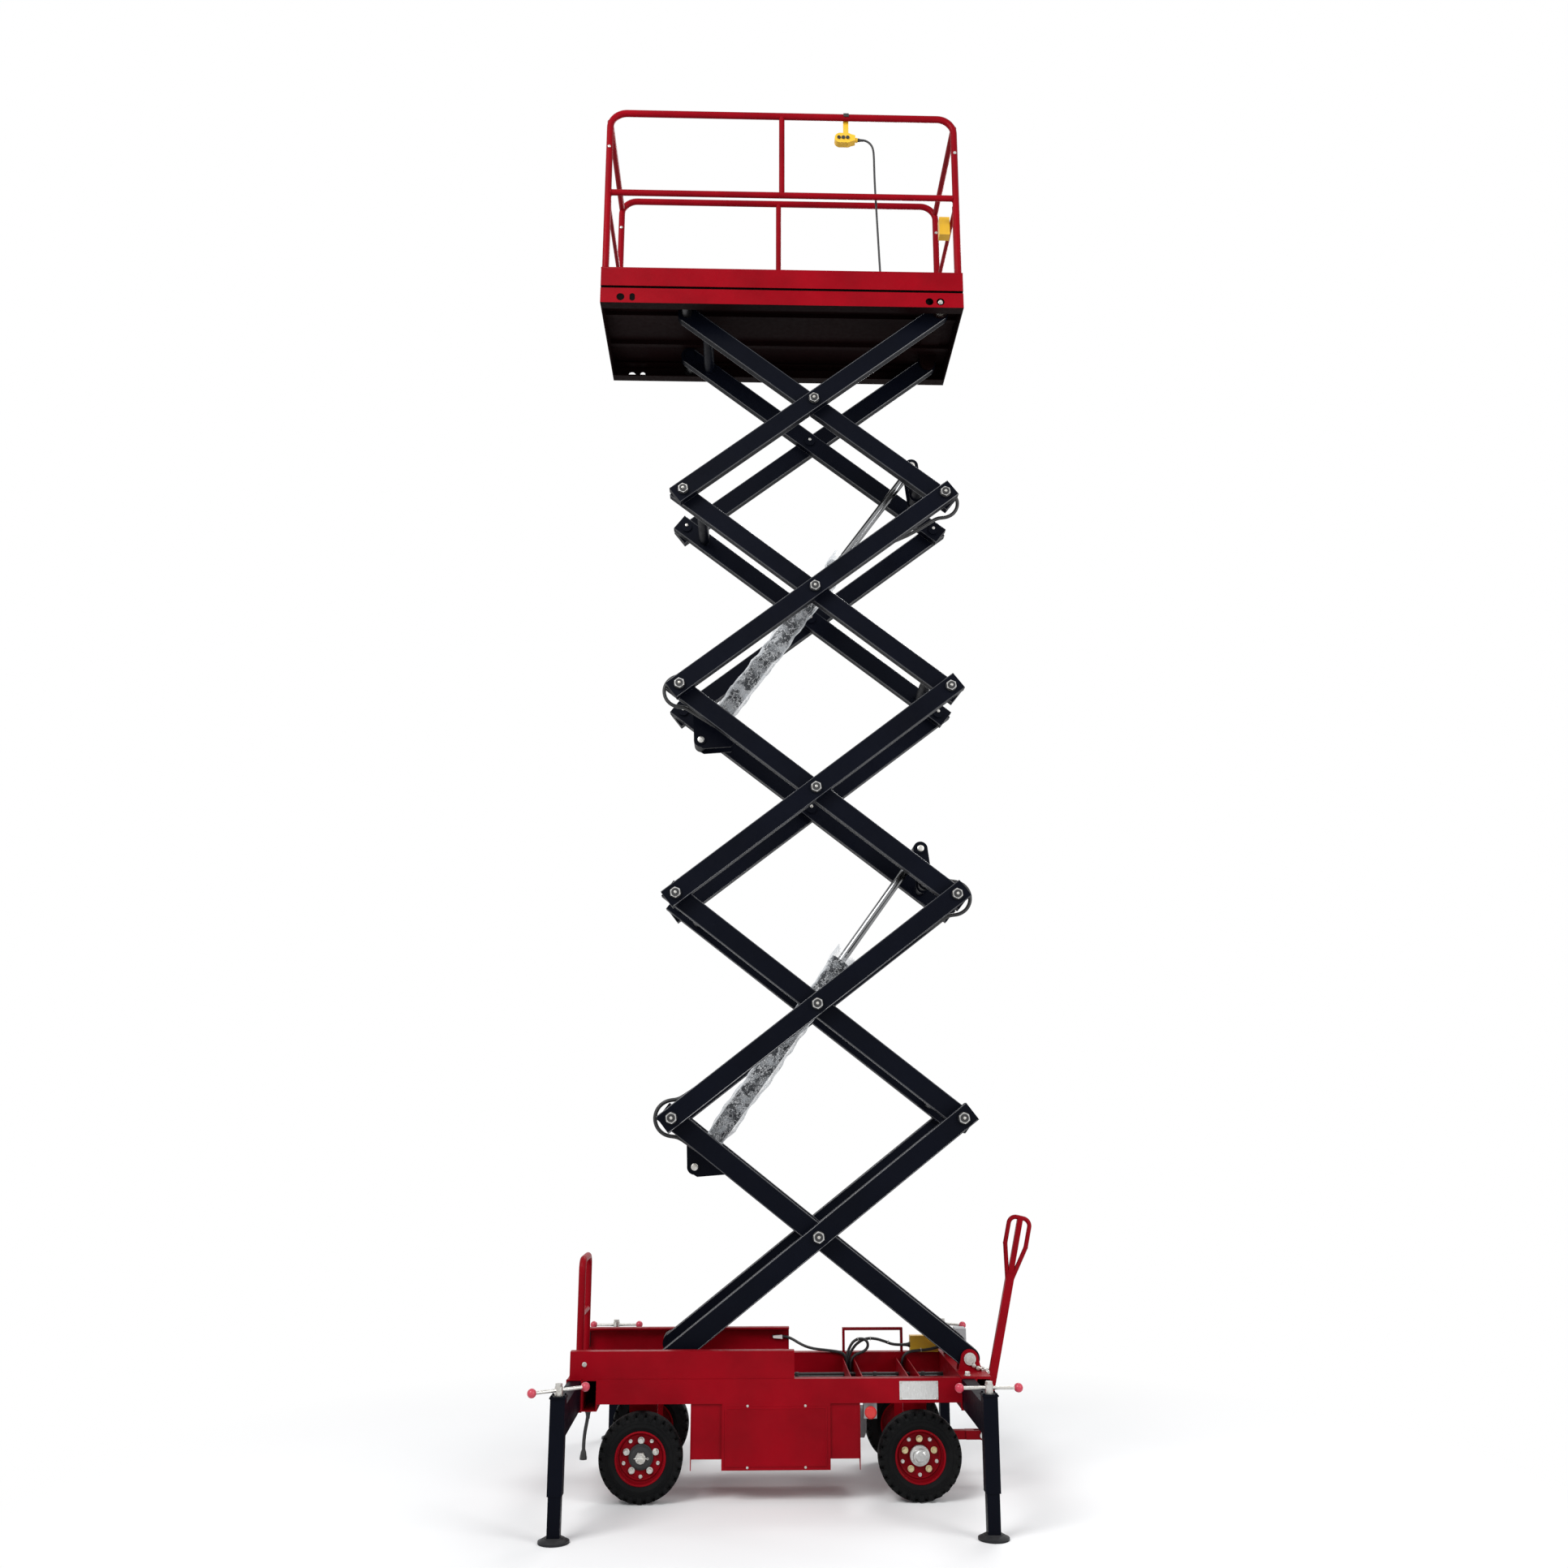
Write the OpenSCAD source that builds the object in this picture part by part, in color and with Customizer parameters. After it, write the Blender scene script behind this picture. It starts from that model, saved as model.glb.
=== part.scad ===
// Towable scissor lift work platform, raised, standing on its wheels and outriggers.
// +X points to the drawbar end, +Z up. The origin is on the ground under the middle of the part.

/* [Scissor arms] */
// Pivot-to-pivot length of one scissor arm
arm_len = 1800; // [1650:10:1850]
// Depth of an arm tube
arm_h = 100; // [92:1:104]
// Width of an arm tube across the machine
arm_w = 50; // [44:1:52]
// Wall of an arm tube
arm_wall = 4; // [3:0.5:6]
// Angle of the arms above level in the raised pose
arm_rise = 37.75; // [34:0.25:39]
// Outer face of the outer arms from the centre plane
arm_out_y = 300; // [292:1:304]
// Side gap between an inner and an outer arm
arm_gap = 6; // [6:0.5:9]
// Overhang of an arm past its end pivot
arm_over = 55; // [50:1:58]
// Diameter of the pivot pins
pin_d = 40; // [30:1:44]
// Diameter of the tubes that tie two inner arms
tie_d = 60; // [50:1:62]

/* [Lift cylinders] */
// Outer diameter of a barrel
barrel_d = 90; // [80:1:92]
// Length of a barrel from its eye to the gland face
barrel_len = 1270; // [1200:5:1285]
// Diameter of a rod
rod_d = 45; // [36:1:50]
// Diameter of the eyes at both ends
eye_d = 76; // [70:1:80]
// Inner face of the cylinder brackets from the centre plane
bracket_in_y = 48; // [47:1:54]
// Thickness of a bracket ear
bracket_t = 10; // [8:1:14]

/* [Base frame] */
// Width over the side beams
base_w = 800; // [800:2:812]
// Height of the frame's top above the ground
base_top = 525; // [515:1:540]
// Depth of a side beam
beam_h = 105; // [90:1:110]
// Width of a side beam
beam_w = 50; // [40:1:50]
// Wall of the frame tubes
frame_wall = 5; // [4:0.5:6]
// Width of an outrigger socket
socket_w = 70; // [66:1:74]
// Depth of an outrigger socket
socket_h = 135; // [125:1:136]
// Left end of the roller tracks
track_left = -972; // [-984:2:-966]
// Right end of the roller tracks
track_right = 56; // [20:2:120]
// Plate thickness of the track flanges
track_flange = 8; // [7:0.5:10]
// Thickness of the pivot ears
ear_t = 12; // [8:1:14]
// Height of the push hoop above the frame
hoop_rise = 512; // [450:2:560]
// Spacing of the hoop's legs
hoop_w = 276; // [240:2:290]

/* [Wheels] */
// Tyre diameter
tyre_d = 381; // [371:1:385]
// Tyre width
tyre_w = 110; // [100:1:114]
// Rim flange diameter
rim_d = 240; // [225:1:250]
// Rear axle position
rear_x = -641; // [-660:1:-625]
// Front axle position
front_x = 629; // [625:1:635]
// Diameter of the stub axles
stub_d = 35; // [30:1:40]

/* [Outriggers] */
// Distance of a leg from the centre plane
leg_y = 960; // [940:2:980]
// Outer width of a leg tube
leg_w = 62; // [58:1:66]
// Lower end of a leg tube
leg_bottom = 178; // [170:1:190]
// Diameter of a foot plate
foot_d = 130; // [110:2:150]
// Length of a jack handle between its balls
handle_l = 250; // [220:2:252]
// Diameter of a handle ball
ball_d = 38; // [30:1:38]

/* [Drawbar] */
// Height of the drawbar hinge
hitch_z = 205; // [203:1:207]
// Position of the drawbar hinge
hitch_x = 977; // [970:1:990]
// Lean of the drawbar from upright
bar_lean = 12.7; // [10:0.1:15]
// Length from the hinge to the top of the loop
bar_len = 1034; // [950:2:1060]
// Width over the loop
loop_w = 126; // [110:2:140]

/* [Platform] */
// Length of the platform
deck_l = 2010; // [1990:2:2060]
// Width of the platform
deck_w = 830; // [826:2:850]
// Depth of the skirt channel
skirt_h = 90; // [86:1:94]
// Height of the toe board above the deck
toe_h = 108; // [90:1:130]
// Top rail height above the deck, to the tube's middle
rail_h = 1123; // [1000:2:1150]
// Middle rail height above the deck
midrail_h = 602; // [520:2:640]
// Diameter of the rail tubes
rail_d = 38; // [30:1:42]
// Bend radius of the rail corners
rail_bend = 95; // [70:1:120]

/* [Hidden] */
$fn = 48;
STAGES = 5;

// Colours of the real pieces
RED = "crimson";
NAVY = "midnightblue";
STEEL = "silver";
BLACK = "black";
YELLOW = "gold";
GREY = "gray";

// Clearances
run_gap = 0.05;
play = 0.3;
slide_gap = 1;
roller_gap = 0.5;
beam_gap = 0.5;
weld = 2;
strap_step = 0.5;

// Scissor geometry in the raised pose
arm_run = arm_len * cos(arm_rise);
stage_rise = arm_len * sin(arm_rise);
roller_over = 3;
roller_d = arm_h + roller_over;
pivot_x = 888;
pivot_z = base_top + track_flange + roller_d / 2 + roller_gap;
top_z = pivot_z + STAGES * stage_rise;
inner_y = arm_out_y - 2 * arm_w - arm_gap;
outer_y = arm_out_y - arm_w;
boss_d = pin_d + 30;
boss_proud = 2;
collar_t = 8;
collar_d = pin_d + 16;
washer_d = boss_d - 12;
washer_t = 6;
nut_t = 14;
pin_tip = 4;
tie_wall = 5;
roller_w = 34;
roller_side = 4;

// Cylinder geometry in an inner frame: along the arm from its upper end, and above its middle
cyl_low = [230, -120];
cyl_high = [arm_len - 290, 130];
low_tie_x = 130;
end_tie_x = 150;
high_tie_x = arm_len - 160;
cyl_vec = [
    (arm_len - (arm_len - cyl_high[0]) - cyl_low[0]) * cos(arm_rise)
        + (cyl_high[1] - cyl_low[1]) * sin(arm_rise),
    (arm_len + (arm_len - cyl_high[0]) + cyl_low[0]) * sin(arm_rise)
        + (cyl_high[1] - cyl_low[1]) * cos(arm_rise)
];
cyl_len = norm(cyl_vec);
cyl_rise = atan2(cyl_vec[1], cyl_vec[0]);
cyl_pin_d = 40;
barrel_wall = 10;
piston_t = 60;
piston_back = 80;
ear_run = 150;
gland_t = 40;
barrel_base = 55;

// Base frame layout
half_w = base_w / 2;
beam_in_y = half_w - beam_w;
beam_left = -844;
beam_right = 822;
socket_x = [beam_left - 1.5 * socket_w, beam_right + socket_w / 2,
    beam_left - socket_w / 2, beam_right + 1.5 * socket_w];
socket_bottom = base_top - socket_h;
track_h = roller_d + 2 * roller_gap + 2 * track_flange;
track_depth = 50;
track_web = 6;
track_set = 4;
cap_plate_t = 6;
ear_base = 110;
ear_head_d = 84;
cross_h = 80;
cross_w = 60;
base_roller_y = half_w - track_set - track_web - roller_side - roller_w;
hoop_x = -957;
hoop_d = 34;
hoop_bend = 50;
hoop_bar_rise = 245;

// Cabinet
cab_left = -417;
cab_right = 357;
cab_bottom = 185;
cab_lip = 138;
cab_t = 4;
cab_back_y = 20;
cab_face_y = -half_w + 10;
door_left = -275;
door_right = 220;
door_bottom = 140;
door_t = 10;
motor_d = 140;
motor_z = 285;
motor_y = -100;
motor_end = 402;
stop_at = [405, -half_w, 378];
stop_d = 55;
stop_travel = 6;

// Running gear
axle_z = tyre_d / 2;
axle_size = 60;
wheel_in_y = 300;
wheel_mid_y = wheel_in_y + tyre_w / 2;
hub_d = 90;
hub_t = 70;
tread_count = 26;
tread_depth = 17;
tread_slot = 11;
tread_reach = 31;
hanger_w = 130;
hanger_t = 12;
hanger_y = 250;
kingpin_y = 262;
kingpin_d = 30;
knuckle_d = 50;
knuckle_h = 70;
fork_t = 16;
fork_lip = 22;
yoke_x = 700;
yoke_pin_d = 30;
arm_throw = 110;
rod_z = 158;
rod_link_t = 16;
link_pin_d = 18;
tongue_w = 40;
tongue_h = 40;
tongue_tip = 935;
hitch_ear_t = 10;
hitch_pin_d = 20;
bar_w = 40;
bar_t = 30;
hitch_boss_d = 50;
loop_d = 22;
loop_r = 35;
fork_u = 752;
spread_u = 890;

// Outriggers, in the order of socket_x: near left, near right, far left, far right
leg_side = [-1, -1, 1, 1];
handle_turn = [-35, 0, 0, -35];
leg_wall = 4;
leg_top = 550;
leg_plate_t = 6;
leg_lip = 4;
leg_gusset = 95;
beam_tube_w = socket_w - 2 * frame_wall - 2 * beam_gap;
beam_tube_h = socket_h - 2 * frame_wall - 2 * beam_gap;
beam_inner_end = 40;
foot_t = 8;
foot_tube_w = leg_w - 2 * leg_wall - 2 * beam_gap;
foot_tube_top = 358;
foot_tube_wall = 5;
jack_nut_t = 28;
screw_d = 24;
screw_bottom = 300;
handle_rod_d = 14;
handle_z = 580;
handle_hub_d = 34;

// Platform layout, heights from the top pivots
deck_gap = 10;
deck_under = top_z + arm_h / 2 + deck_gap;
deck_t = 5;
deck_top = deck_under + deck_t;
tread_t = 2;
tread_in = 60;
tread_near = 90;
tread_far = 45;
skirt_bottom = top_z - skirt_h / 2;
skirt_top = top_z + skirt_h / 2;
skirt_flange = 8;
skirt_web = 6;
skirt_depth = 60;
skirt_hole_x = [-894, 815, 876];
skirt_slot_x = -829;
skirt_slot_w = 30;
skirt_slot_rise = 8;
skirt_hole_d = 44;
skirt_hole_drop = 10;
half_deck = deck_w / 2;
end_x = deck_l / 2;
top_roller_d = skirt_h - 2 * skirt_flange - 2 * roller_gap;
top_roller_y = half_deck - skirt_web - roller_side - roller_w;
spacer_in = 12;
spacer_w = 30;
rib_h = 25;
rib_w = 30;
rib_y = 150;
toe_t = 4;
post_inset = 21;
post_x = end_x - post_inset;
post_y = half_deck - toe_t - rail_d / 2 - 1;
end_rail_drop = 58;
panel_rise = 580;
panel_d = 30;
panel_bar_d = 24;
panel_gap = 12;
panel_foot = toe_h + 20;
gate_pin_d = 14;

// Left and right ends of the part, for its middle
left_end = socket_x[0] - handle_l / 2 * cos(handle_turn[0]) - ball_d / 2;
loop_half = (loop_w - loop_d) / 2;
loop_top = bar_len - loop_d / 2;
right_end = hitch_x + (loop_top - loop_r) * sin(bar_lean) + (loop_half - loop_r) * cos(bar_lean)
    + loop_r + loop_d / 2;
middle_x = (left_end + right_end) / 2;

// Routes of the cables, chosen by hand
power_lead_d = 16;
power_lead_route = [
    [-885, -372, 390], [-885, -372, 375], [-887, -372, 355], [-891, -372, 330], [-896, -372, 300],
    [-899, -372, 270], [-900, -372, 245], [-900, -372, 225]
];
handset_drop = 118;
handset_r = 32;
handset_t = 44;
handset_at = [365, -352, deck_top + rail_h - handset_drop];
holder_w = 60;
holder_wall = 6;
holder_y = [-230, -170];
holder_z = [deck_top + panel_rise - 95, deck_top + panel_rise + 20];
handset_cord_d = 12;
deck_socket_x = [715, 765];
deck_socket_y = [-375, -329];
deck_socket_h = 40;
handset_route = [
    [434, -352, 7165], [455, -352, 7166], [477, -352, 7163], [499, -352, 7150], [515, -352, 7128],
    [523, -352, 7100], [526, -352, 7060], [527, -352, 7000], [528, -352, 6920], [530, -352, 6840],
    [533, -352, 6760], [536, -352, 6680], [539, -352, 6600], [542, -352, 6520], [545, -352, 6440],
    [548, -352, 6360], [552, -352, 6290], [560, -352, 6235], [577, -352, 6196], [605, -352, 6174],
    [640, -352, 6167], [680, -352, 6167], [714, -352, 6167]
];
base_cable_d = 14;
cable_beam_y = 350;
pendant_cable_route = [
    [357, 325, 425.5], [357, 325, 470], [362, 325, 510], [380, 325, 545], [410, 325, 575],
    [450, 325, 592], [495, 325, 592], [540, 328, 580], [580, 333, 566], [615, 341, 561],
    [650, 349, 560], [660, 350, 560], [674, 350, 560]
];
loop_cable_route = [
    [345, 300, 425.5], [345, 300, 480], [350, 300, 520], [365, 300, 560], [390, 300, 588], [420, 300, 596],
    [445, 300, 588], [455, 300, 566], [443, 300, 543], [415, 300, 529], [387, 300, 516], [371, 300, 494],
    [366, 300, 460], [366, 300, 425.5]
];
track_cable_route = [
    [-30, 382.5, 598], [20, 382.5, 598], [48, 381, 594], [76, 372, 584], [104, 358, 570], [134, 346, 557],
    [168, 341, 547], [204, 340, 541], [240, 340, 537], [274, 340, 533], [302, 340, 529], [323, 340, 523],
    [338, 340, 512], [345, 340, 496], [347, 340, 475], [347, 340, 425.5]
];
box_cable_route = [
    [629, 335, 425.5], [630, 335, 470], [640, 335, 505], [668, 335, 526], [710, 335, 533], [755, 335, 537],
    [800, 335, 545], [835, 335, 556], [865, 335, 567], [885, 335, 571], [904, 335, 571]
];
cable_sides = 8;

// Joint hoses: reach along the arms, radius round the pivot and side offset
hose_d = 20;
hose_reach = 480;
hose_straight = 40;
hose_turn_r = 112;
hose_y = 168;
hose_steps = 28;
hose_block = [30, 28, 28];
hose_seat = hose_reach + 2 * run_gap;
hose_tab_h = 24;
hose_tab_rise = 8;

function left_pivot(i) = [pivot_x - arm_run, 0, pivot_z + i * stage_rise];
function right_pivot(i) = [pivot_x, 0, pivot_z + i * stage_rise];
function unit(v) = v / norm(v);

// Placement helpers
module placed() translate([-middle_x, 0, 0]) children();

module both_sides() {
    children();
    mirror([0, 1, 0]) children();
}

module box(x, y, z) translate([x[0], y[0], z[0]]) cube([x[1] - x[0], y[1] - y[0], z[1] - z[0]]);

module along_y(d, y) translate([0, y[0], 0]) rotate([-90, 0, 0]) cylinder(d = d, h = y[1] - y[0]);

module along_x(d, x) translate([x[0], 0, 0]) rotate([0, 90, 0]) cylinder(d = d, h = x[1] - x[0]);

module upright(d, z) translate([0, 0, z[0]]) cylinder(d = d, h = z[1] - z[0]);

// A flat shape drawn in X and Z, with its thickness along Y
module flat_xz(y) translate([0, y[1], 0]) rotate([90, 0, 0]) linear_extrude(height = y[1] - y[0]) children();

module rod_between(a, b, d) {
    v = b - a;
    translate(a) rotate([0, acos(v[2] / norm(v)), atan2(v[1], v[0])]) cylinder(d = d, h = norm(v));
}

// A strap with two round ends
module strap(a, b, r) {
    v = b - a;
    translate(a) circle(r);
    translate(b) circle(r);
    translate(a) rotate(atan2(v[1], v[0])) translate([0, strap_step - r])
        square([norm(v), 2 * (r - strap_step)]);
}

// A quarter bend of round tube in the XZ plane, from straight up to straight along +X
module bend_xz(r, d) {
    translate([r, 0, 0]) rotate([90, 0, 0]) rotate([0, 0, 90]) rotate_extrude(angle = 90)
        translate([r, 0]) circle(d = d);
}

// A round tube swept along a route that never runs along Y
module swept(route, d, sides) {
    n = len(route);
    rings = [for (i = [0:n - 1])
        let (t = unit(route[min(i + 1, n - 1)] - route[max(i - 1, 0)]),
            across = unit(cross([0, 1, 0], t)), over = cross(t, across))
        for (k = [0:sides - 1])
            route[i] + d / 2 * (cos(360 * k / sides) * across + sin(360 * k / sides) * over)];
    sides_faces = [for (i = [0:n - 2], k = [0:sides - 1])
        let (a = i * sides + k, b = i * sides + (k + 1) % sides)
        each [[a, a + sides, b], [b, a + sides, b + sides]]];
    caps = [for (k = [1:sides - 2])
        each [[0, k, k + 1], [(n - 1) * sides, (n - 1) * sides + k + 1, (n - 1) * sides + k]]];
    polyhedron(points = rings, faces = concat(sides_faces, caps), convexity = 4);
}

// One scissor arm along +X from its first pivot, on the side of +Y, ends round or square
module arm_shape(first_round, last_round) {
    start = first_round ? 0 : -arm_over;
    stop = arm_len + (last_round ? 0 : arm_over);
    difference() {
        union() {
            difference() {
                union() {
                    box([start, stop], [0, arm_w], [-arm_h / 2, arm_h / 2]);
                    if (first_round) along_y(arm_h, [0, arm_w]);
                    if (last_round) translate([arm_len, 0, 0]) along_y(arm_h, [0, arm_w]);
                }
                box([start + arm_wall, stop - arm_wall], [arm_wall, arm_w - arm_wall],
                    [arm_wall - arm_h / 2, arm_h / 2 - arm_wall]);
            }
            for (x = [0, arm_len / 2, arm_len])
                translate([x, 0, 0]) along_y(boss_d, [-boss_proud, arm_w + boss_proud]);
        }
        for (x = [0, arm_len / 2, arm_len])
            translate([x, 0, 0]) along_y(pin_d + 2 * run_gap, [-2 * boss_proud, arm_w + 2 * boss_proud]);
    }
}

// A pivot pin with its inner collar, outer washer and nut
module pivot_pin() {
    inside = inner_y - boss_proud - play - collar_t;
    outside = arm_out_y + boss_proud + run_gap;
    along_y(pin_d, [inside, outside + washer_t + nut_t + pin_tip]);
    along_y(collar_d, [inside, inside + collar_t]);
    along_y(washer_d, [outside, outside + washer_t]);
    rotate([-90, 0, 0]) translate([0, 0, outside + washer_t]) cylinder(d = pin_d + 16, h = nut_t, $fn = 6);
}

module tie_tube(x) {
    translate([x, 0, 0]) difference() {
        along_y(tie_d, [-inner_y - weld, inner_y + weld]);
        along_y(tie_d - 2 * tie_wall, [-inner_y + weld, inner_y - weld]);
    }
}

// Two ears from a tie tube to a cylinder eye
module cylinder_ears(tie_x, eye, pinned) {
    both_sides() difference() {
        flat_xz([bracket_in_y, bracket_in_y + bracket_t]) {
            strap([tie_x, 0], eye, eye_d / 2);
            if (pinned) polygon([[tie_x, 0], [eye[0], eye[1] + 3 - eye_d / 2],
                [eye[0] + 40, eye[1] + 8 - eye_d / 2], [eye[0] + ear_run, -arm_h / 2],
                [eye[0] + ear_run, -arm_h / 4]]);
        }
        if (pinned) translate([eye[0], 0, eye[1]])
            along_y(cyl_pin_d + 2 * run_gap, [0, bracket_in_y + 2 * bracket_t]);
    }
}

module cylinder_pin(eye) {
    reach = bracket_in_y + bracket_t + run_gap;
    translate([eye[0], 0, eye[1]]) {
        along_y(cyl_pin_d, [-reach - washer_t, reach + washer_t]);
        both_sides() along_y(cyl_pin_d + 14, [reach, reach + washer_t]);
    }
}

// The block that a hose ends on, carried by a tab from the inner face of a near-side arm
module hose_end(x, arm_y, rise) {
    box([x, x + hose_block[0]], [-hose_y - hose_block[1] / 2, -hose_y + hose_block[1] / 2],
        [-hose_block[2] / 2, hose_block[2] / 2]);
    box([x, x + hose_block[0]], [-arm_y - weld, -hose_y], [rise - hose_tab_h / 2, rise + hose_tab_h / 2]);
}

module at_inner(i) translate(left_pivot(i)) rotate([0, arm_rise, 0]) children();

module at_outer(i) translate(left_pivot(i - 1)) rotate([0, -arm_rise, 0]) children();

module inner_frame(i) {
    lower = i % 2 == 1 && i < STAGES;
    upper = i % 2 == 1 && i > 1;
    ties = [
        i == STAGES ? end_tie_x : low_tie_x,
        upper ? high_tie_x : i == 1 ? arm_len - 150 : arm_len - 130
    ];
    color(NAVY) placed() at_inner(i) {
        union() {
            both_sides() translate([0, inner_y, 0]) arm_shape(i == STAGES, i == 1);
            if (lower) hose_end(hose_seat, inner_y, 0);
            if (upper) hose_end(arm_len - hose_seat - hose_block[0], inner_y, 0);
            for (x = ties) tie_tube(x);
            if (lower) cylinder_ears(low_tie_x, cyl_low, true);
            if (upper) cylinder_ears(high_tie_x, cyl_high, false);
            if (upper) translate([cyl_high[0], 0, cyl_high[1]]) both_sides()
                along_y(cyl_pin_d + 14, [bracket_in_y + bracket_t - 1, bracket_in_y + bracket_t + washer_t]);
        }
        if (lower) cylinder_pin(cyl_low);
        if (i == STAGES) both_sides() roller_axle(inner_y, top_roller_y);
    }
}

// A roller axle through an arm, with a collar each side of the arm and a head past the roller
module roller_axle(arm_y, roller_y) {
    inside = arm_y - boss_proud - run_gap - collar_t;
    outside = arm_y + arm_w + boss_proud + run_gap;
    along_y(pin_d, [inside, roller_y + roller_w + roller_side - 1]);
    along_y(collar_d, [inside, inside + collar_t]);
    along_y(collar_d, [outside, roller_y - play]);
}

module outer_arms(i) {
    color(NAVY) placed() at_outer(i) {
        both_sides() translate([0, outer_y, 0]) arm_shape(i == 1, i == STAGES);
        if (i % 2 == 0) {
            hose_end(hose_seat, outer_y, -hose_tab_rise);
            hose_end(arm_len - hose_seat - hose_block[0], outer_y, hose_tab_rise);
        }
        both_sides() translate([arm_len / 2, 0, 0]) pivot_pin();
        if (i > 1) both_sides() pivot_pin();
        if (i < STAGES) both_sides() translate([arm_len, 0, 0]) pivot_pin();
        if (i == 1) both_sides() roller_axle(outer_y, base_roller_y);
    }
}

module roller(d, y) {
    difference() {
        along_y(d, [y, y + roller_w]);
        along_y(pin_d + 2 * run_gap, [y - 1, y + roller_w + 1]);
    }
}

module base_rollers() {
    color(STEEL) placed() translate(left_pivot(0)) both_sides() roller(roller_d, base_roller_y);
}

module platform_rollers() {
    color(STEEL) placed() translate(left_pivot(STAGES)) both_sides() roller(top_roller_d, top_roller_y);
}

// Cylinders: along +X from the lower eye
module at_cylinder(i) {
    placed() at_inner(i) translate([cyl_low[0], 0, cyl_low[1]])
        rotate([0, -arm_rise - cyl_rise, 0]) children();
}

module cylinder_barrel(i) {
    half_eye = bracket_in_y - 2;
    color(NAVY) at_cylinder(i) difference() {
        union() {
            along_x(barrel_d, [barrel_base, barrel_len]);
            along_x(barrel_d + 14, [barrel_len - gland_t, barrel_len]);
            along_y(eye_d, [-half_eye, half_eye]);
            box([0, barrel_base + weld], [-eye_d / 3, eye_d / 3], [-eye_d / 3, eye_d / 3]);
        }
        along_x(barrel_d - 2 * barrel_wall, [barrel_base + 2 * barrel_wall, barrel_len - gland_t]);
        along_x(rod_d + 2 * run_gap, [barrel_len - gland_t - 1, barrel_len + 1]);
        along_y(cyl_pin_d + 2 * run_gap, [-half_eye - 1, half_eye + 1]);
    }
}

module cylinder_rod(i) {
    half_eye = bracket_in_y - 1;
    piston_x = barrel_len - piston_back;
    color(STEEL) at_cylinder(i) difference() {
        union() {
            along_x(rod_d, [piston_x - piston_t / 2, cyl_len - eye_d / 4]);
            along_x(barrel_d - 2 * barrel_wall - 2 * run_gap, [piston_x - piston_t, piston_x]);
            translate([cyl_len, 0, 0]) along_y(eye_d, [-half_eye, half_eye]);
        }
        translate([cyl_len, 0, 0]) along_y(cyl_pin_d + 2 * run_gap, [-half_eye - 1, half_eye + 1]);
    }
    color(STEEL) at_cylinder(i) translate([cyl_len, 0, 0]) along_y(cyl_pin_d, [-half_eye, half_eye]);
}

// Base frame
module rect_tube_y(x, z, y, wall) {
    difference() {
        box(x, y, z);
        box([x[0] + wall, x[1] - wall], [y[0] - 1, y[1] + 1], [z[0] + wall, z[1] - wall]);
    }
}

module socket(x) {
    rect_tube_y([x - socket_w / 2, x + socket_w / 2], [socket_bottom, base_top], [-half_w, half_w],
        frame_wall);
}

module side_beam() {
    difference() {
        box([beam_left, beam_right], [beam_in_y, half_w], [base_top - beam_h, base_top]);
        box([beam_left + frame_wall, beam_right - frame_wall], [beam_in_y + frame_wall, half_w - frame_wall],
            [base_top - beam_h + frame_wall, base_top - frame_wall]);
    }
}

module cross_member(x) {
    box([x - cross_w / 2, x + cross_w / 2], [-beam_in_y, beam_in_y],
        [base_top - beam_h, base_top - beam_h + frame_wall]);
    for (side = [-1, 1]) translate([side * (cross_w - frame_wall) / 2, 0, 0])
        box([x - frame_wall / 2, x + frame_wall / 2], [-beam_in_y, beam_in_y],
            [base_top - beam_h, base_top - beam_h + cross_h]);
}

// A pivot ear: a tapered plate with a round head, drawn about its bore
module pivot_ear(y, foot_z, head_d) {
    difference() {
        flat_xz(y) {
            circle(d = head_d);
            polygon([[-ear_base / 2, foot_z], [ear_base / 2, foot_z], [head_d / 2, 0], [-head_d / 2, 0]]);
        }
        along_y(pin_d + 2 * run_gap, [y[0] - 1, y[1] + 1]);
    }
}

module base_ear_pin() {
    inside = inner_y - boss_proud - slide_gap - ear_t;
    outside = inner_y + arm_w + boss_proud + slide_gap + ear_t + run_gap;
    along_y(pin_d, [inside - pin_tip, outside + washer_t + pin_tip]);
    along_y(collar_d, [outside, outside + washer_t]);
}

guard_x = [330, 640];
guard_y = [beam_in_y + 10, beam_in_y + 40];
guard_rise = 115;
guard_t = 12;

module cable_guard() {
    top = base_top + guard_rise;
    box(guard_x, guard_y, [top - guard_t, top]);
    for (x = guard_x) translate([x == guard_x[0] ? 0 : -guard_t, 0, 0])
        box([x, x + guard_t], guard_y, [base_top - weld, top - guard_t / 2]);
}

module base_frame() {
    foot = base_top + cap_plate_t - pivot_z;
    inner_ear = inner_y - boss_proud - slide_gap;
    outer_ear = inner_y + arm_w + boss_proud + slide_gap;
    color(RED) placed() {
        union() {
            both_sides() side_beam();
            for (x = socket_x) socket(x);
            for (x = [rear_x, cab_left, cab_right, front_x]) cross_member(x);
            box([beam_right, beam_right + 2 * socket_w], [-half_w, half_w],
                [base_top, base_top + cap_plate_t]);
            translate(right_pivot(0)) both_sides() {
                pivot_ear([inner_ear - ear_t, inner_ear], foot - weld, ear_head_d);
                pivot_ear([outer_ear, outer_ear + ear_t], foot - weld, ear_head_d);
            }
            cable_guard();
        }
        translate(right_pivot(0)) both_sides() base_ear_pin();
    }
}

module roller_tracks() {
    z0 = base_top;
    z1 = base_top + track_h;
    y1 = half_w - track_set;
    y0 = y1 - track_depth;
    color(RED) placed() both_sides() {
        box([track_left, track_right], [y1 - track_web, y1], [z0, z1]);
        box([track_left, track_right], [y0, y1], [z0, z0 + track_flange]);
        box([track_left, track_right], [y0, y1], [z1 - track_flange, z1]);
    }
}

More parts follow.
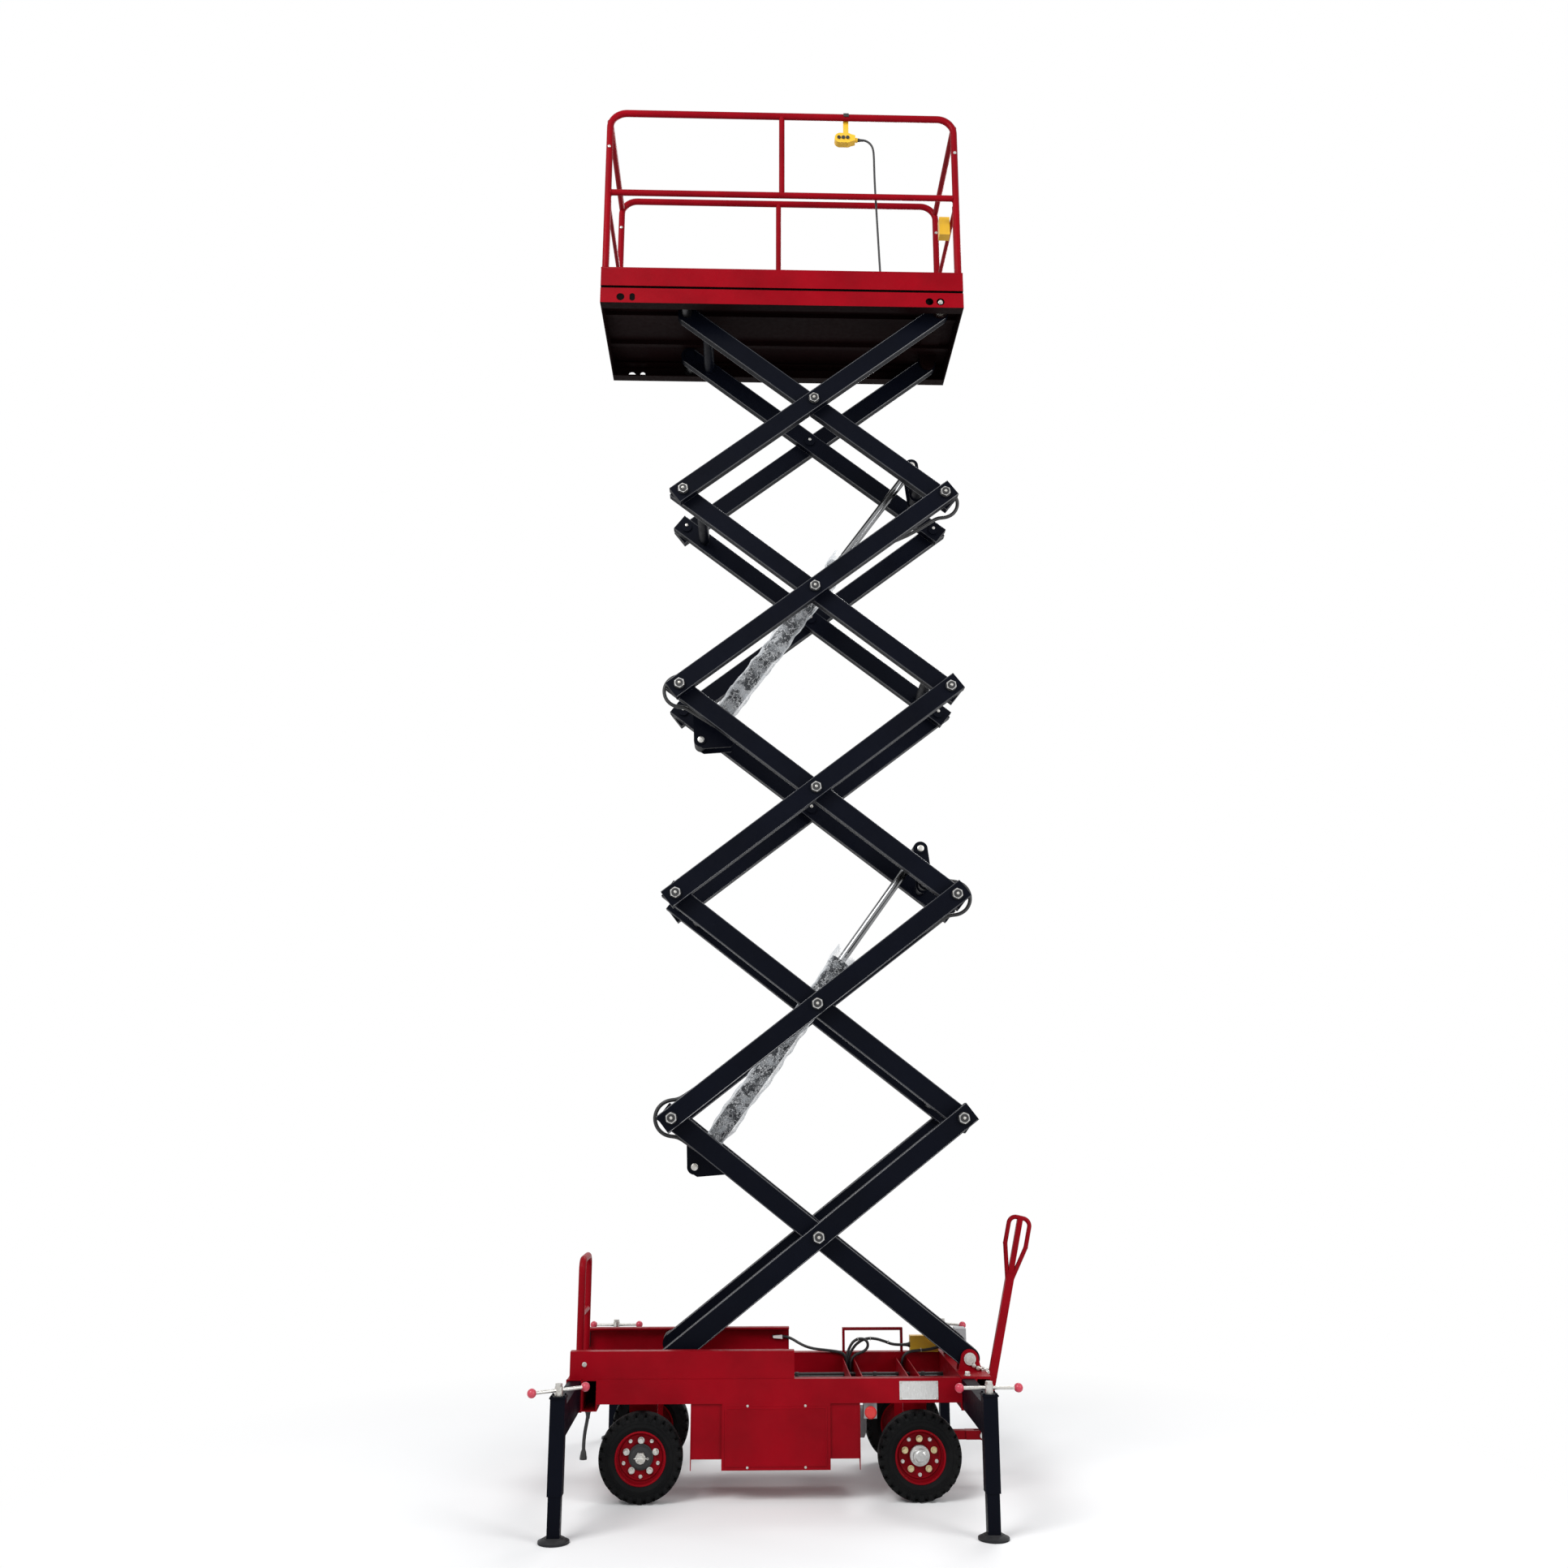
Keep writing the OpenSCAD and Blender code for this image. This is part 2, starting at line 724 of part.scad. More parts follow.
module push_hoop() {
    top = base_top + hoop_rise - hoop_d / 2;
    half = hoop_w / 2;
    color(RED) placed() translate([hoop_x, 0, 0]) {
        for (side = [-1, 1]) translate([0, side * half, 0]) {
            upright(hoop_d, [base_top, top - hoop_bend]);
            translate([0, 0, top - hoop_bend]) rotate([0, 0, side > 0 ? -90 : 90])
                bend_xz(hoop_bend, hoop_d);
        }
        translate([0, 0, top]) along_y(hoop_d, [hoop_bend - half, half - hoop_bend]);
        translate([0, 0, base_top + hoop_bar_rise]) along_y(hoop_d - 6, [-half, half]);
    }
}

// Equipment cabinet under the near beam
module cabinet_shell() {
    top = base_top - beam_h;
    color(RED) placed() difference() {
        union() {
            box([cab_left, cab_right], [cab_face_y, cab_face_y + cab_t], [cab_bottom, top]);
            box([cab_left, cab_right], [cab_back_y - cab_t, cab_back_y], [cab_bottom, top]);
            box([cab_left, cab_right], [cab_face_y, cab_back_y], [cab_bottom, cab_bottom + cab_t]);
            for (x = [cab_left, cab_right - cab_t]) {
                box([x, x + cab_t], [cab_face_y, cab_back_y], [cab_bottom, top]);
                translate([x, 0, 0]) rotate([90, 0, 90]) linear_extrude(height = cab_t)
                    polygon([[cab_face_y, cab_bottom + 1], [cab_face_y, cab_lip],
                        [cab_face_y + cab_bottom - cab_lip, cab_bottom + 1]]);
            }
        }
        box([door_left + 30, door_right - 30], [cab_face_y - 1, cab_face_y + cab_t + 1],
            [cab_bottom + 30, top - 30]);
        translate([0, motor_y, motor_z]) along_x(motor_d + 8, [cab_right - 2 * cab_t, cab_right + 1]);
    }
}

module cabinet_door() {
    color(RED) placed() box([door_left, door_right], [cab_face_y - door_t, cab_face_y],
        [door_bottom, base_top - beam_h]);
}

tank_x = [-330, 20];
tank_y = [-300, -20];
tank_h = 170;

module power_unit() {
    floor_z = cab_bottom + cab_t;
    color(GREY) placed() {
        box(tank_x, tank_y, [floor_z, floor_z + tank_h]);
        translate([0, motor_y, motor_z]) {
            along_x(motor_d - 30, [tank_x[1], 130]);
            along_x(motor_d, [130, motor_end - 20]);
            along_x(motor_d - 16, [motor_end - 20, motor_end]);
        }
        box([160, 340], [motor_y - 40, motor_y + 40], [floor_z, motor_z - motor_d / 2 + 8]);
    }
}

pendant_x = [675, 820];
pendant_y = [beam_in_y - 8, beam_in_y + 36];
pendant_h = 78;

module base_pendant() {
    color(YELLOW) placed() {
        box(pendant_x, pendant_y, [base_top, base_top + pendant_h]);
        translate([pendant_x[0] + 100, (pendant_y[0] + pendant_y[1]) / 2, 0])
            upright(28, [base_top + pendant_h, base_top + pendant_h + 18]);
    }
}

junction_x = [905, 960];
junction_y = [beam_in_y - 40, beam_in_y + 46];
junction_h = 110;
stop_box = [60, 50, 60];

module switch_boxes() {
    lid = base_top + cap_plate_t;
    color(GREY) placed() {
        box(junction_x, junction_y, [lid, lid + junction_h]);
        difference() {
            translate([stop_at[0] - stop_box[0] / 2, stop_at[1] + 22, base_top - beam_h - stop_box[2] - 10])
                cube([stop_box[0], stop_box[1], stop_box[2] + 10]);
            translate([stop_at[0], 0, stop_at[2]]) along_y(22 + 2 * run_gap, [-half_w, stop_at[1] + 45]);
        }
    }
}

module stop_button() {
    color(RED) placed() translate([stop_at[0], stop_at[1], stop_at[2]]) {
        along_y(22, [8, 34]);
        rotate([-90, 0, 0]) rotate_extrude() polygon([[0, 0], [stop_d / 2 - 6, 0], [stop_d / 2, 6],
            [stop_d / 2, 10], [stop_d / 2 - 8, 14], [0, 14]]);
    }
}

// Running gear
module hanger(x, y, w) {
    box([x - w / 2, x + w / 2], [y - hanger_t, y], [axle_z, base_top - beam_h]);
}

module rear_axle() {
    color(RED) placed() {
        box([rear_x - axle_size / 2, rear_x + axle_size / 2], [-hanger_y, hanger_y],
            [axle_z - axle_size / 2, axle_z + axle_size / 2]);
        both_sides() hanger(rear_x, hanger_y, hanger_w);
        translate([rear_x, 0, axle_z]) both_sides() {
            along_y(stub_d, [hanger_y - weld, wheel_in_y + hub_t + 20]);
            along_y(stub_d + 20, [hanger_y - weld, wheel_in_y - play]);
            rotate([-90, 0, 0]) translate([0, 0, wheel_in_y + hub_t + play])
                cylinder(d = 52, h = 16, $fn = 6);
        }
    }
}

module front_axle() {
    fork_y = kingpin_y + fork_lip;
    fork_z = knuckle_h / 2 + play;
    color(RED) placed() {
        difference() {
            union() {
                box([front_x - axle_size / 2, front_x + axle_size / 2], [-230, 230],
                    [axle_z - axle_size / 2, axle_z + axle_size / 2]);
                both_sides() {
                    box([front_x - axle_size / 2, front_x + axle_size / 2], [210, 230],
                        [axle_z - fork_z - fork_t, axle_z + fork_z + fork_t]);
                    for (z = [axle_z - fork_z - fork_t, axle_z + fork_z])
                        box([front_x - axle_size / 2, front_x + axle_size / 2], [210, fork_y],
                            [z, z + fork_t]);
                    hanger(front_x, 205, hanger_w - 20);
                }
                for (z = [hitch_z - tongue_h / 2 - play - fork_t, hitch_z + tongue_h / 2 + play])
                    box([front_x, yoke_x + 30], [-35, 35], [z, z + fork_t]);
                box([front_x - axle_size / 2, front_x + axle_size / 2], [-35, 35],
                    [axle_z, hitch_z + tongue_h / 2 + fork_t]);
            }
            both_sides() translate([front_x, kingpin_y, 0])
                upright(kingpin_d + 2 * run_gap, [0, axle_z + 2 * fork_z + fork_t]);
            translate([yoke_x, 0, 0]) upright(yoke_pin_d + 2 * run_gap, [0, hitch_z + tongue_h + fork_t]);
        }
    }
}

// Steering knuckle with its kingpin, stub axle and steering arm
module knuckle() {
    fork_z = knuckle_h / 2 + play + fork_t;
    arm_bottom = rod_z + rod_link_t / 2 + play;
    translate([front_x, kingpin_y, 0]) {
        difference() {
            union() {
                upright(knuckle_d, [axle_z - knuckle_h / 2, axle_z + knuckle_h / 2]);
                upright(kingpin_d, [axle_z - fork_z - 2, axle_z + fork_z + 4]);
                translate([0, 0, axle_z]) {
                    along_y(stub_d, [0, wheel_in_y - kingpin_y + hub_t + 20]);
                    along_y(stub_d + 10, [0, wheel_in_y - kingpin_y - play]);
                    rotate([-90, 0, 0]) translate([0, 0, wheel_in_y - kingpin_y + hub_t + play])
                        cylinder(d = 52, h = 16, $fn = 6);
                }
                box([0, arm_throw], [-15, 15], [arm_bottom, arm_bottom + rod_link_t]);
                translate([arm_throw, 0, 0]) upright(30, [arm_bottom, arm_bottom + rod_link_t]);
            }
            translate([arm_throw, 0, 0])
                upright(link_pin_d + 2 * run_gap, [arm_bottom - 1, arm_bottom + rod_link_t + 1]);
        }
    }
}

module knuckle_near() color(STEEL) placed() mirror([0, 1, 0]) knuckle();

module knuckle_far() color(STEEL) placed() knuckle();

// Track rod between the steering arms, with a lug and pin for the yoke
module tie_rod() {
    z = [rod_z - rod_link_t / 2, rod_z + rod_link_t / 2];
    color(STEEL) placed() translate([front_x + arm_throw, 0, 0]) {
        box([-12, 12], [-kingpin_y, kingpin_y], z);
        box([0, yoke_x - front_x], [-15, 15], z);
        translate([yoke_x - front_x, 0, 0]) {
            upright(36, z);
            upright(link_pin_d, [rod_z, hitch_z - tongue_h / 2 + 24]);
        }
        both_sides() translate([0, kingpin_y, 0]) {
            upright(30, z);
            upright(link_pin_d, [rod_z, rod_z + rod_link_t * 1.5 + play + 4]);
        }
    }
}

module drawbar_yoke() {
    ear_in = bar_t / 2 + play;
    pin_head = ear_in + hitch_ear_t + run_gap;
    color(RED) placed() {
        difference() {
            union() {
                box([yoke_x, tongue_tip], [-tongue_w / 2, tongue_w / 2],
                    [hitch_z - tongue_h / 2, hitch_z + tongue_h / 2]);
                translate([yoke_x, 0, 0]) upright(60, [hitch_z - tongue_h / 2, hitch_z + tongue_h / 2]);
                both_sides() {
                    box([tongue_tip - 40, hitch_x], [ear_in, ear_in + hitch_ear_t],
                        [hitch_z - tongue_h / 2, hitch_z + tongue_h / 2]);
                    translate([hitch_x, 0, hitch_z]) along_y(tongue_h, [ear_in, ear_in + hitch_ear_t]);
                }
            }
            translate([yoke_x + arm_throw, 0, 0])
                upright(link_pin_d + 2 * run_gap, [0, hitch_z - tongue_h / 2 + 30]);
            translate([hitch_x, 0, hitch_z])
                along_y(hitch_pin_d + 2 * run_gap, [-ear_in - hitch_ear_t - 1, ear_in + hitch_ear_t + 1]);
        }
        translate([yoke_x, 0, 0]) {
            upright(yoke_pin_d,
                [hitch_z - tongue_h / 2 - 1.5 * fork_t, hitch_z + tongue_h / 2 + 1.5 * fork_t]);
        }
        translate([hitch_x, 0, hitch_z]) {
            along_y(hitch_pin_d, [-pin_head - washer_t, pin_head + washer_t]);
            both_sides() along_y(hitch_pin_d + 12, [pin_head, pin_head + washer_t]);
        }
    }
}

// Drawbar along its own Z, hinge at the origin, loop in the XZ plane
module drawbar() {
    color(RED) placed() translate([hitch_x, 0, hitch_z]) rotate([0, bar_lean, 0]) {
        difference() {
            union() {
                along_y(hitch_boss_d, [-bar_t / 2, bar_t / 2]);
                box([-bar_w / 2, bar_w / 2], [-bar_t / 2, bar_t / 2], [0, fork_u]);
            }
            along_y(hitch_pin_d + 2 * run_gap, [-bar_t, bar_t]);
        }
        box([-bar_w / 3, bar_w / 3], [-loop_d / 2, loop_d / 2], [fork_u - 1, loop_top]);
        for (side = [-1, 1]) {
            rod_between([side * bar_w / 4, 0, fork_u - 30], [side * loop_half, 0, spread_u], loop_d);
            translate([side * loop_half, 0, spread_u]) sphere(d = loop_d + 1.5);
            translate([side * loop_half, 0, 0]) {
                upright(loop_d, [spread_u, loop_top - loop_r]);
                translate([0, 0, loop_top - loop_r]) rotate([0, 0, side > 0 ? 180 : 0])
                    bend_xz(loop_r, loop_d);
            }
        }
        translate([0, 0, loop_top]) along_x(loop_d, [loop_r - loop_half, loop_half - loop_r]);
    }
}

// Wheel on the side of +Y: tyre and rim are separate solids on one hub
// Slots across both shoulders of a tyre, those of one side half a step from the other's
module tread_cuts() {
    for (face = [0, 1], k = [0:tread_count - 1])
        mirror([0, 0, face]) rotate(360 * (k + face / 2) / tread_count)
            box([tyre_d / 2 - tread_depth, tyre_d], [-tread_slot / 2, tread_slot / 2],
                [tyre_w / 2 - tread_reach, tyre_w]);
}

module wheel(x) {
    r = tyre_d / 2;
    bead = rim_d / 2 - 6;
    half = tyre_w / 2;
    color(BLACK) placed() translate([x, wheel_mid_y, axle_z]) rotate([-90, 0, 0]) {
        difference() {
            rotate_extrude() polygon([[bead + run_gap, -half + 12], [rim_d / 2 + 14, -half],
                [r - 26, -half + 4], [r - 8, -half + 14], [r, -half + 30], [r, half - 30],
                [r - 8, half - 14], [r - 26, half - 4], [rim_d / 2 + 14, half],
                [bead + run_gap, half - 12]]);
            tread_cuts();
        }
        rotate_extrude() polygon([[stub_d / 2 + run_gap, -half], [hub_d / 2, -half], [hub_d / 2, -20],
            [bead - 8, -8], [bead - 8, -half + 14], [bead, -half + 14], [bead, half - 14],
            [bead - 8, half - 14], [bead - 8, 6], [hub_d / 2, -6], [hub_d / 2, hub_t - half],
            [stub_d / 2 + run_gap, hub_t - half]]);
    }
}

module near() mirror([0, 1, 0]) children();

// Outrigger legs, each on its own side
module at_leg(k) placed() translate([socket_x[k], 0, 0]) mirror([0, leg_side[k] < 0 ? 1 : 0, 0]) children();

module outrigger_beam(k) {
    z0 = socket_bottom + frame_wall + beam_gap;
    z1 = z0 + beam_tube_h;
    half = beam_tube_w / 2;
    inner_face = leg_y - leg_w / 2;
    color(NAVY) at_leg(k) {
        difference() {
            union() {
                rect_tube_y([-half, half], [z0, z1], [beam_inner_end, inner_face + leg_wall / 2],
                    frame_wall);
                translate([0, leg_y, 0]) difference() {
                    box([-leg_w / 2, leg_w / 2], [-leg_w / 2, leg_w / 2], [leg_bottom, leg_top]);
                    box([leg_wall - leg_w / 2, leg_w / 2 - leg_wall],
                        [leg_wall - leg_w / 2, leg_w / 2 - leg_wall],
                        [leg_bottom - 1, leg_top + 1]);
                }
                translate([0, leg_y, 0]) box([-leg_w / 2 - leg_lip, leg_w / 2 + leg_lip],
                    [-leg_w / 2 - leg_lip, leg_w / 2 + leg_lip], [leg_top, leg_top + leg_plate_t]);
                translate([-5, 0, 0]) rotate([90, 0, 90]) linear_extrude(height = 10)
                    polygon([[inner_face + 1, z0 + 1], [inner_face - leg_gusset, z0 + 1],
                        [inner_face + 1, z0 - leg_gusset]]);
            }
            translate([0, leg_y, 0])
                upright(screw_d + 2 * run_gap, [leg_top - 1, leg_top + 2 * leg_plate_t]);
        }
    }
}

module outrigger_foot(k) {
    half = foot_tube_w / 2;
    color(GREY) at_leg(k) translate([0, leg_y, 0]) {
        upright(foot_d, [0, foot_t]);
        difference() {
            box([-half, half], [-half, half], [foot_t, foot_tube_top]);
            box([foot_tube_wall - half, half - foot_tube_wall],
                [foot_tube_wall - half, half - foot_tube_wall],
                [foot_t + foot_tube_wall, foot_tube_top - jack_nut_t]);
            upright(screw_d + 2 * run_gap, [foot_tube_top - jack_nut_t - 1, foot_tube_top + 1]);
        }
    }
}

module jack_handle(k) {
    plate_top = leg_top + leg_plate_t;
    color(STEEL) at_leg(k) translate([0, leg_y, 0]) {
        upright(screw_d, [screw_bottom, handle_z + 20]);
        upright(handle_hub_d, [plate_top + play, handle_z + 14]);
        upright(handle_hub_d, [leg_top - 12, leg_top - play]);
        translate([0, 0, handle_z + 14]) cylinder(d = 30, h = 12, $fn = 6);
        rotate([0, 0, handle_turn[k]]) translate([0, 0, handle_z]) {
            along_x(handle_rod_d, [-handle_l / 2, handle_l / 2]);
            for (side = [-1, 1]) translate([side * handle_l / 2, 0, 0])
                rotate([0, 90, 0]) sphere(d = ball_d);
        }
    }
}

// Platform
module skirt_holes() {
    through = [half_deck - skirt_web - 1, half_deck + 1];
    for (x = skirt_hole_x) translate([x, 0, top_z - skirt_hole_drop]) both_sides()
        along_y(skirt_hole_d, through);
    translate([skirt_slot_x, 0, top_z - skirt_hole_drop]) both_sides()
        flat_xz(through) strap([0, -skirt_slot_rise], [0, skirt_slot_rise], skirt_slot_w / 2);
}

module deck_frame() {
    skirt_in = half_deck - skirt_depth;
    ear_foot = deck_under - top_z;
    inner_ear = outer_y - boss_proud - slide_gap;
    outer_ear = arm_out_y + boss_proud + slide_gap;
    pin_head = outer_ear + ear_t + run_gap;
    color(RED) placed() {
        difference() {
            union() {
                both_sides() {
                    box([-end_x, end_x], [half_deck - skirt_web, half_deck], [skirt_bottom, skirt_top]);
                    for (z = [skirt_bottom, skirt_top - skirt_flange])
                        box([-end_x, end_x], [skirt_in, half_deck], [z, z + skirt_flange]);
                    box([-end_x, end_x], [half_deck - spacer_in - spacer_w, half_deck - spacer_in],
                        [skirt_top - 1, deck_under]);
                    box([-end_x, end_x], [rib_y - rib_w / 2, rib_y + rib_w / 2],
                        [deck_under - rib_h, deck_under]);
                }
                for (side = [-1, 1]) translate([side * (end_x - skirt_web / 2), 0, 0]) {
                    box([-skirt_web / 2, skirt_web / 2], [-half_deck, half_deck], [skirt_bottom, skirt_top]);
                    box([-skirt_web / 2, skirt_web / 2],
                        [-half_deck + spacer_in, half_deck - spacer_in], [skirt_top - 1, deck_under]);
                }
                box([pivot_x - ear_base / 2, pivot_x + ear_base / 2], [-skirt_in, skirt_in],
                    [deck_under - 6, deck_under]);
                translate(right_pivot(STAGES)) both_sides() {
                    pivot_ear([inner_ear - ear_t, inner_ear], ear_foot - 4, ear_head_d);
                    pivot_ear([outer_ear, outer_ear + ear_t], ear_foot - 4, ear_head_d);
                }
            }
            skirt_holes();
        }
        translate(right_pivot(STAGES)) both_sides() {
            along_y(pin_d, [inner_ear - ear_t - pin_tip, pin_head + washer_t + pin_tip]);
            along_y(collar_d, [pin_head, pin_head + washer_t]);
        }
    }
}

module deck_plate() {
    color(GREY) placed() {
        box([-end_x, end_x], [-half_deck, half_deck], [deck_under, deck_top]);
        box([tread_in - end_x, end_x - tread_in], [tread_near - half_deck, half_deck - tread_far],
            [deck_top - tread_t / 2, deck_top + tread_t]);
    }
}

// A side guard: posts, bends and top rail in one tube, a middle rail and a short centre post
module side_guard() {
    top = deck_top + rail_h;
    mid = deck_top + midrail_h;
    for (side = [-1, 1]) translate([side * post_x, 0, 0]) {
        upright(rail_d, [deck_top, top - rail_bend]);
        translate([0, 0, top - rail_bend]) rotate([0, 0, side > 0 ? 180 : 0]) bend_xz(rail_bend, rail_d);
    }
    translate([0, 0, top]) along_x(rail_d, [rail_bend - post_x, post_x - rail_bend]);
    translate([0, 0, mid]) along_x(rail_d - 4, [-post_x, post_x]);
    translate([-4, 0, 0]) upright(rail_d - 6, [mid, top]);
}

// Half-height end panel: two stiles, a top bar and a lower bar
module end_panel(half) {
    foot = deck_top + panel_foot;
    head = deck_top + panel_rise;
    for (y = [-half, half]) translate([0, y, 0]) upright(panel_d, [foot, head]);
    for (z = [foot + panel_d / 2, head - panel_d / 2]) translate([0, 0, z])
        along_y(panel_bar_d, [-half, half]);
}

panel_half = post_y - rail_d / 2 - panel_gap - panel_d / 2;

module guard_rails() {
    end_top = deck_top + rail_h - end_rail_drop;
    foot = deck_top + panel_foot;
    head = deck_top + panel_rise;
    color(RED) placed() {
        union() {
            both_sides() translate([0, post_y, 0]) side_guard();
            both_sides() box([-end_x, end_x], [half_deck - toe_t, half_deck], [deck_top, deck_top + toe_h]);
            for (side = [-1, 1]) {
                translate([side * post_x, 0, end_top]) along_y(rail_d - 4, [-post_y, post_y]);
                translate([side * (end_x - toe_t / 2), 0, 0])
                    box([-toe_t / 2, toe_t / 2], [-half_deck, half_deck], [deck_top, deck_top + toe_h]);
            }
            translate([post_x, 0, 0]) {
                end_panel(panel_half);
                for (z = [foot + 40, head - 40]) translate([0, 0, z]) both_sides()
                    along_y(16, [panel_half, post_y]);
            }
            translate([-post_x, panel_half, 0]) for (z = [foot - play - 14, head + play])
                box([-10, 10], [-10, post_y - panel_half], [z, z + 14]);
            translate([-post_x, panel_half, 0]) {
                upright(gate_pin_d, [foot - 10, foot + 30]);
                upright(gate_pin_d, [head - 30, head + 10]);
            }
        }
    }
}

module entry_gate() {
    foot = deck_top + panel_foot;
    head = deck_top + panel_rise;
    color(RED) placed() translate([-post_x, 0, 0]) difference() {
        end_panel(panel_half);
        translate([0, panel_half, 0]) {
            upright(gate_pin_d + 2 * run_gap, [foot - 1, foot + 31]);
            upright(gate_pin_d + 2 * run_gap, [head - 31, head + 1]);
        }
    }
}

// Hand control hooked on the near top rail, its holder on the right end panel
module handset() {
    top = deck_top + rail_h;
    color(YELLOW) placed() {
        translate(handset_at) {
            flat_xz([-handset_t / 2, handset_t / 2]) {
                strap([-32, 0], [8, 0], handset_r);
                polygon([[8, 1 - handset_r], [8, handset_r - 1], [54, 17], [54, -17]]);
            }
            along_x(26, [50, 68]);
            for (x = [-40, -15, 10]) translate([x, 0, 0]) along_y(20, [-28, 0]);
        }
        difference() {
            translate([handset_at[0] - 8, -post_y, top]) along_x(rail_d + 2 * play + 10, [-7, 23]);
            translate([handset_at[0] - 8, -post_y, top]) along_x(rail_d + 2 * play, [-8, 24]);
            box([handset_at[0] - 20, handset_at[0] + 20], [-post_y - 40, -post_y + 40], [top - 60, top - 8]);
        }
        box([handset_at[0] - 15, handset_at[0] + 15],
            [-post_y + rail_d / 2 + play, -post_y + rail_d / 2 + play + 6],
            [handset_at[2] + 20, top]);
        box(deck_socket_x, deck_socket_y, [deck_top, deck_top + deck_socket_h]);
        translate([post_x - panel_bar_d / 2 - play, 0, 0]) difference() {
            box([-holder_w, 0], holder_y, holder_z);
            box([holder_wall - holder_w, -holder_wall], holder_y + [holder_wall, -holder_wall],
                holder_z + [10, 5]);
        }
    }
}

module handset_cable() color(BLACK) placed() swept(handset_route, handset_cord_d, cable_sides);

module power_lead() {
    plug_top = power_lead_route[len(power_lead_route) - 1];
    color(BLACK) placed() {
        swept(power_lead_route, power_lead_d, cable_sides);
        translate(plug_top) {
            translate([0, 0, -30]) cylinder(d1 = 34, d2 = 20, h = 30);
            translate([0, 0, -40]) cylinder(d = 34, h = 10);
        }
    }
}

module base_cables() {
    color(BLACK) placed() {
        translate([0, beam_in_y - cable_beam_y, 0]) {
            swept(pendant_cable_route, base_cable_d, cable_sides);
            swept(loop_cable_route, base_cable_d, cable_sides);
            swept(box_cable_route, base_cable_d, cable_sides);
            swept(track_cable_route, base_cable_d, cable_sides);
        }
    }
}

// Hose loop round a joint: along the lower arm, round the outside of the pivot, along the upper arm
function hose_point(t) =
    let (turn = arm_rise + t * (360 - 2 * arm_rise), ends = pow(abs(2 * t - 1), 8),
        r = hose_turn_r + (hose_reach - hose_straight - hose_turn_r) * ends)
    [r * cos(turn), 0, -r * sin(turn)];

module joint_hose(pivot, flip) {
    end = hose_reach * [cos(arm_rise), 0, sin(arm_rise)];
    route = concat([[end[0], 0, -end[2]]], [for (k = [0:hose_steps]) hose_point(k / hose_steps)], [end]);
    color(BLACK) placed() translate([pivot[0], -hose_y, pivot[2]]) mirror([flip ? 1 : 0, 0, 0])
        swept(route, hose_d, cable_sides);
}

base_frame();
roller_tracks();
push_hoop();
cabinet_shell();
cabinet_door();
power_unit();
rear_axle();
front_axle();
base_pendant();
switch_boxes();
stop_button();
outrigger_beam(0);  // outrigger_beam_1
outrigger_beam(1);  // outrigger_beam_2
outrigger_beam(2);  // outrigger_beam_3
outrigger_beam(3);  // outrigger_beam_4
outrigger_foot(0);  // outrigger_foot_1
outrigger_foot(1);  // outrigger_foot_2
outrigger_foot(2);  // outrigger_foot_3
outrigger_foot(3);  // outrigger_foot_4
jack_handle(0);  // jack_handle_1
jack_handle(1);  // jack_handle_2
jack_handle(2);  // jack_handle_3
jack_handle(3);  // jack_handle_4
near() wheel(rear_x);  // rear_wheel_near
wheel(rear_x);  // rear_wheel_far
near() wheel(front_x);  // front_wheel_near
wheel(front_x);  // front_wheel_far
knuckle_near();
knuckle_far();
tie_rod();
drawbar_yoke();
drawbar();
inner_frame(1);  // inner_frame_1
inner_frame(2);  // inner_frame_2
inner_frame(3);  // inner_frame_3
inner_frame(4);  // inner_frame_4
inner_frame(5);  // inner_frame_5
outer_arms(1);  // outer_arms_1
outer_arms(2);  // outer_arms_2
outer_arms(3);  // outer_arms_3
outer_arms(4);  // outer_arms_4
outer_arms(5);  // outer_arms_5
cylinder_barrel(1);  // cylinder_barrel_lower
cylinder_barrel(3);  // cylinder_barrel_upper
cylinder_rod(1);  // cylinder_rod_lower
cylinder_rod(3);  // cylinder_rod_upper
base_rollers();
platform_rollers();
deck_frame();
deck_plate();
guard_rails();
entry_gate();
handset();
handset_cable();
power_lead();
base_cables();
joint_hose(left_pivot(1), false);  // joint_hose_1
joint_hose(right_pivot(2), true);  // joint_hose_2
joint_hose(left_pivot(3), false);  // joint_hose_3
joint_hose(right_pivot(4), true);  // joint_hose_4
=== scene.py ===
"""Looks of a towable scissor lift work platform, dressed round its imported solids."""
import math

import bpy
from mathutils import Matrix, Vector


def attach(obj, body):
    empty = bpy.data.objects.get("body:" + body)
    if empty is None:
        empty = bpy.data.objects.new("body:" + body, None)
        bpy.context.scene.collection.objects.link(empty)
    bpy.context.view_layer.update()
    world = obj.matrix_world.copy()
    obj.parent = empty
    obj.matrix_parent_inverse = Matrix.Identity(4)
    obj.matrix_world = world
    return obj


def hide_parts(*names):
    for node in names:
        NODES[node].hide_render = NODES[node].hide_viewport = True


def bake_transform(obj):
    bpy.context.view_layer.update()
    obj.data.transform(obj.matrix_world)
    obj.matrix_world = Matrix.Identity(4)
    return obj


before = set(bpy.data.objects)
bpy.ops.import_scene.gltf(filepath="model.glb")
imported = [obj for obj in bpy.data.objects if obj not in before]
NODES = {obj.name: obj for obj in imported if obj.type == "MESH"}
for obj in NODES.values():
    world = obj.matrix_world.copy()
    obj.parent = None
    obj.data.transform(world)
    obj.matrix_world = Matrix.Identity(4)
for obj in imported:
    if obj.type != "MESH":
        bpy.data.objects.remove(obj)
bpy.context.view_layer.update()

# Sizes of the drawing, in millimetres, with x from the platform's middle
FRAME_X = 93.199
STAGES = 5
ARM_LENGTH = 1800
ARM_RISE = math.radians(37.75)
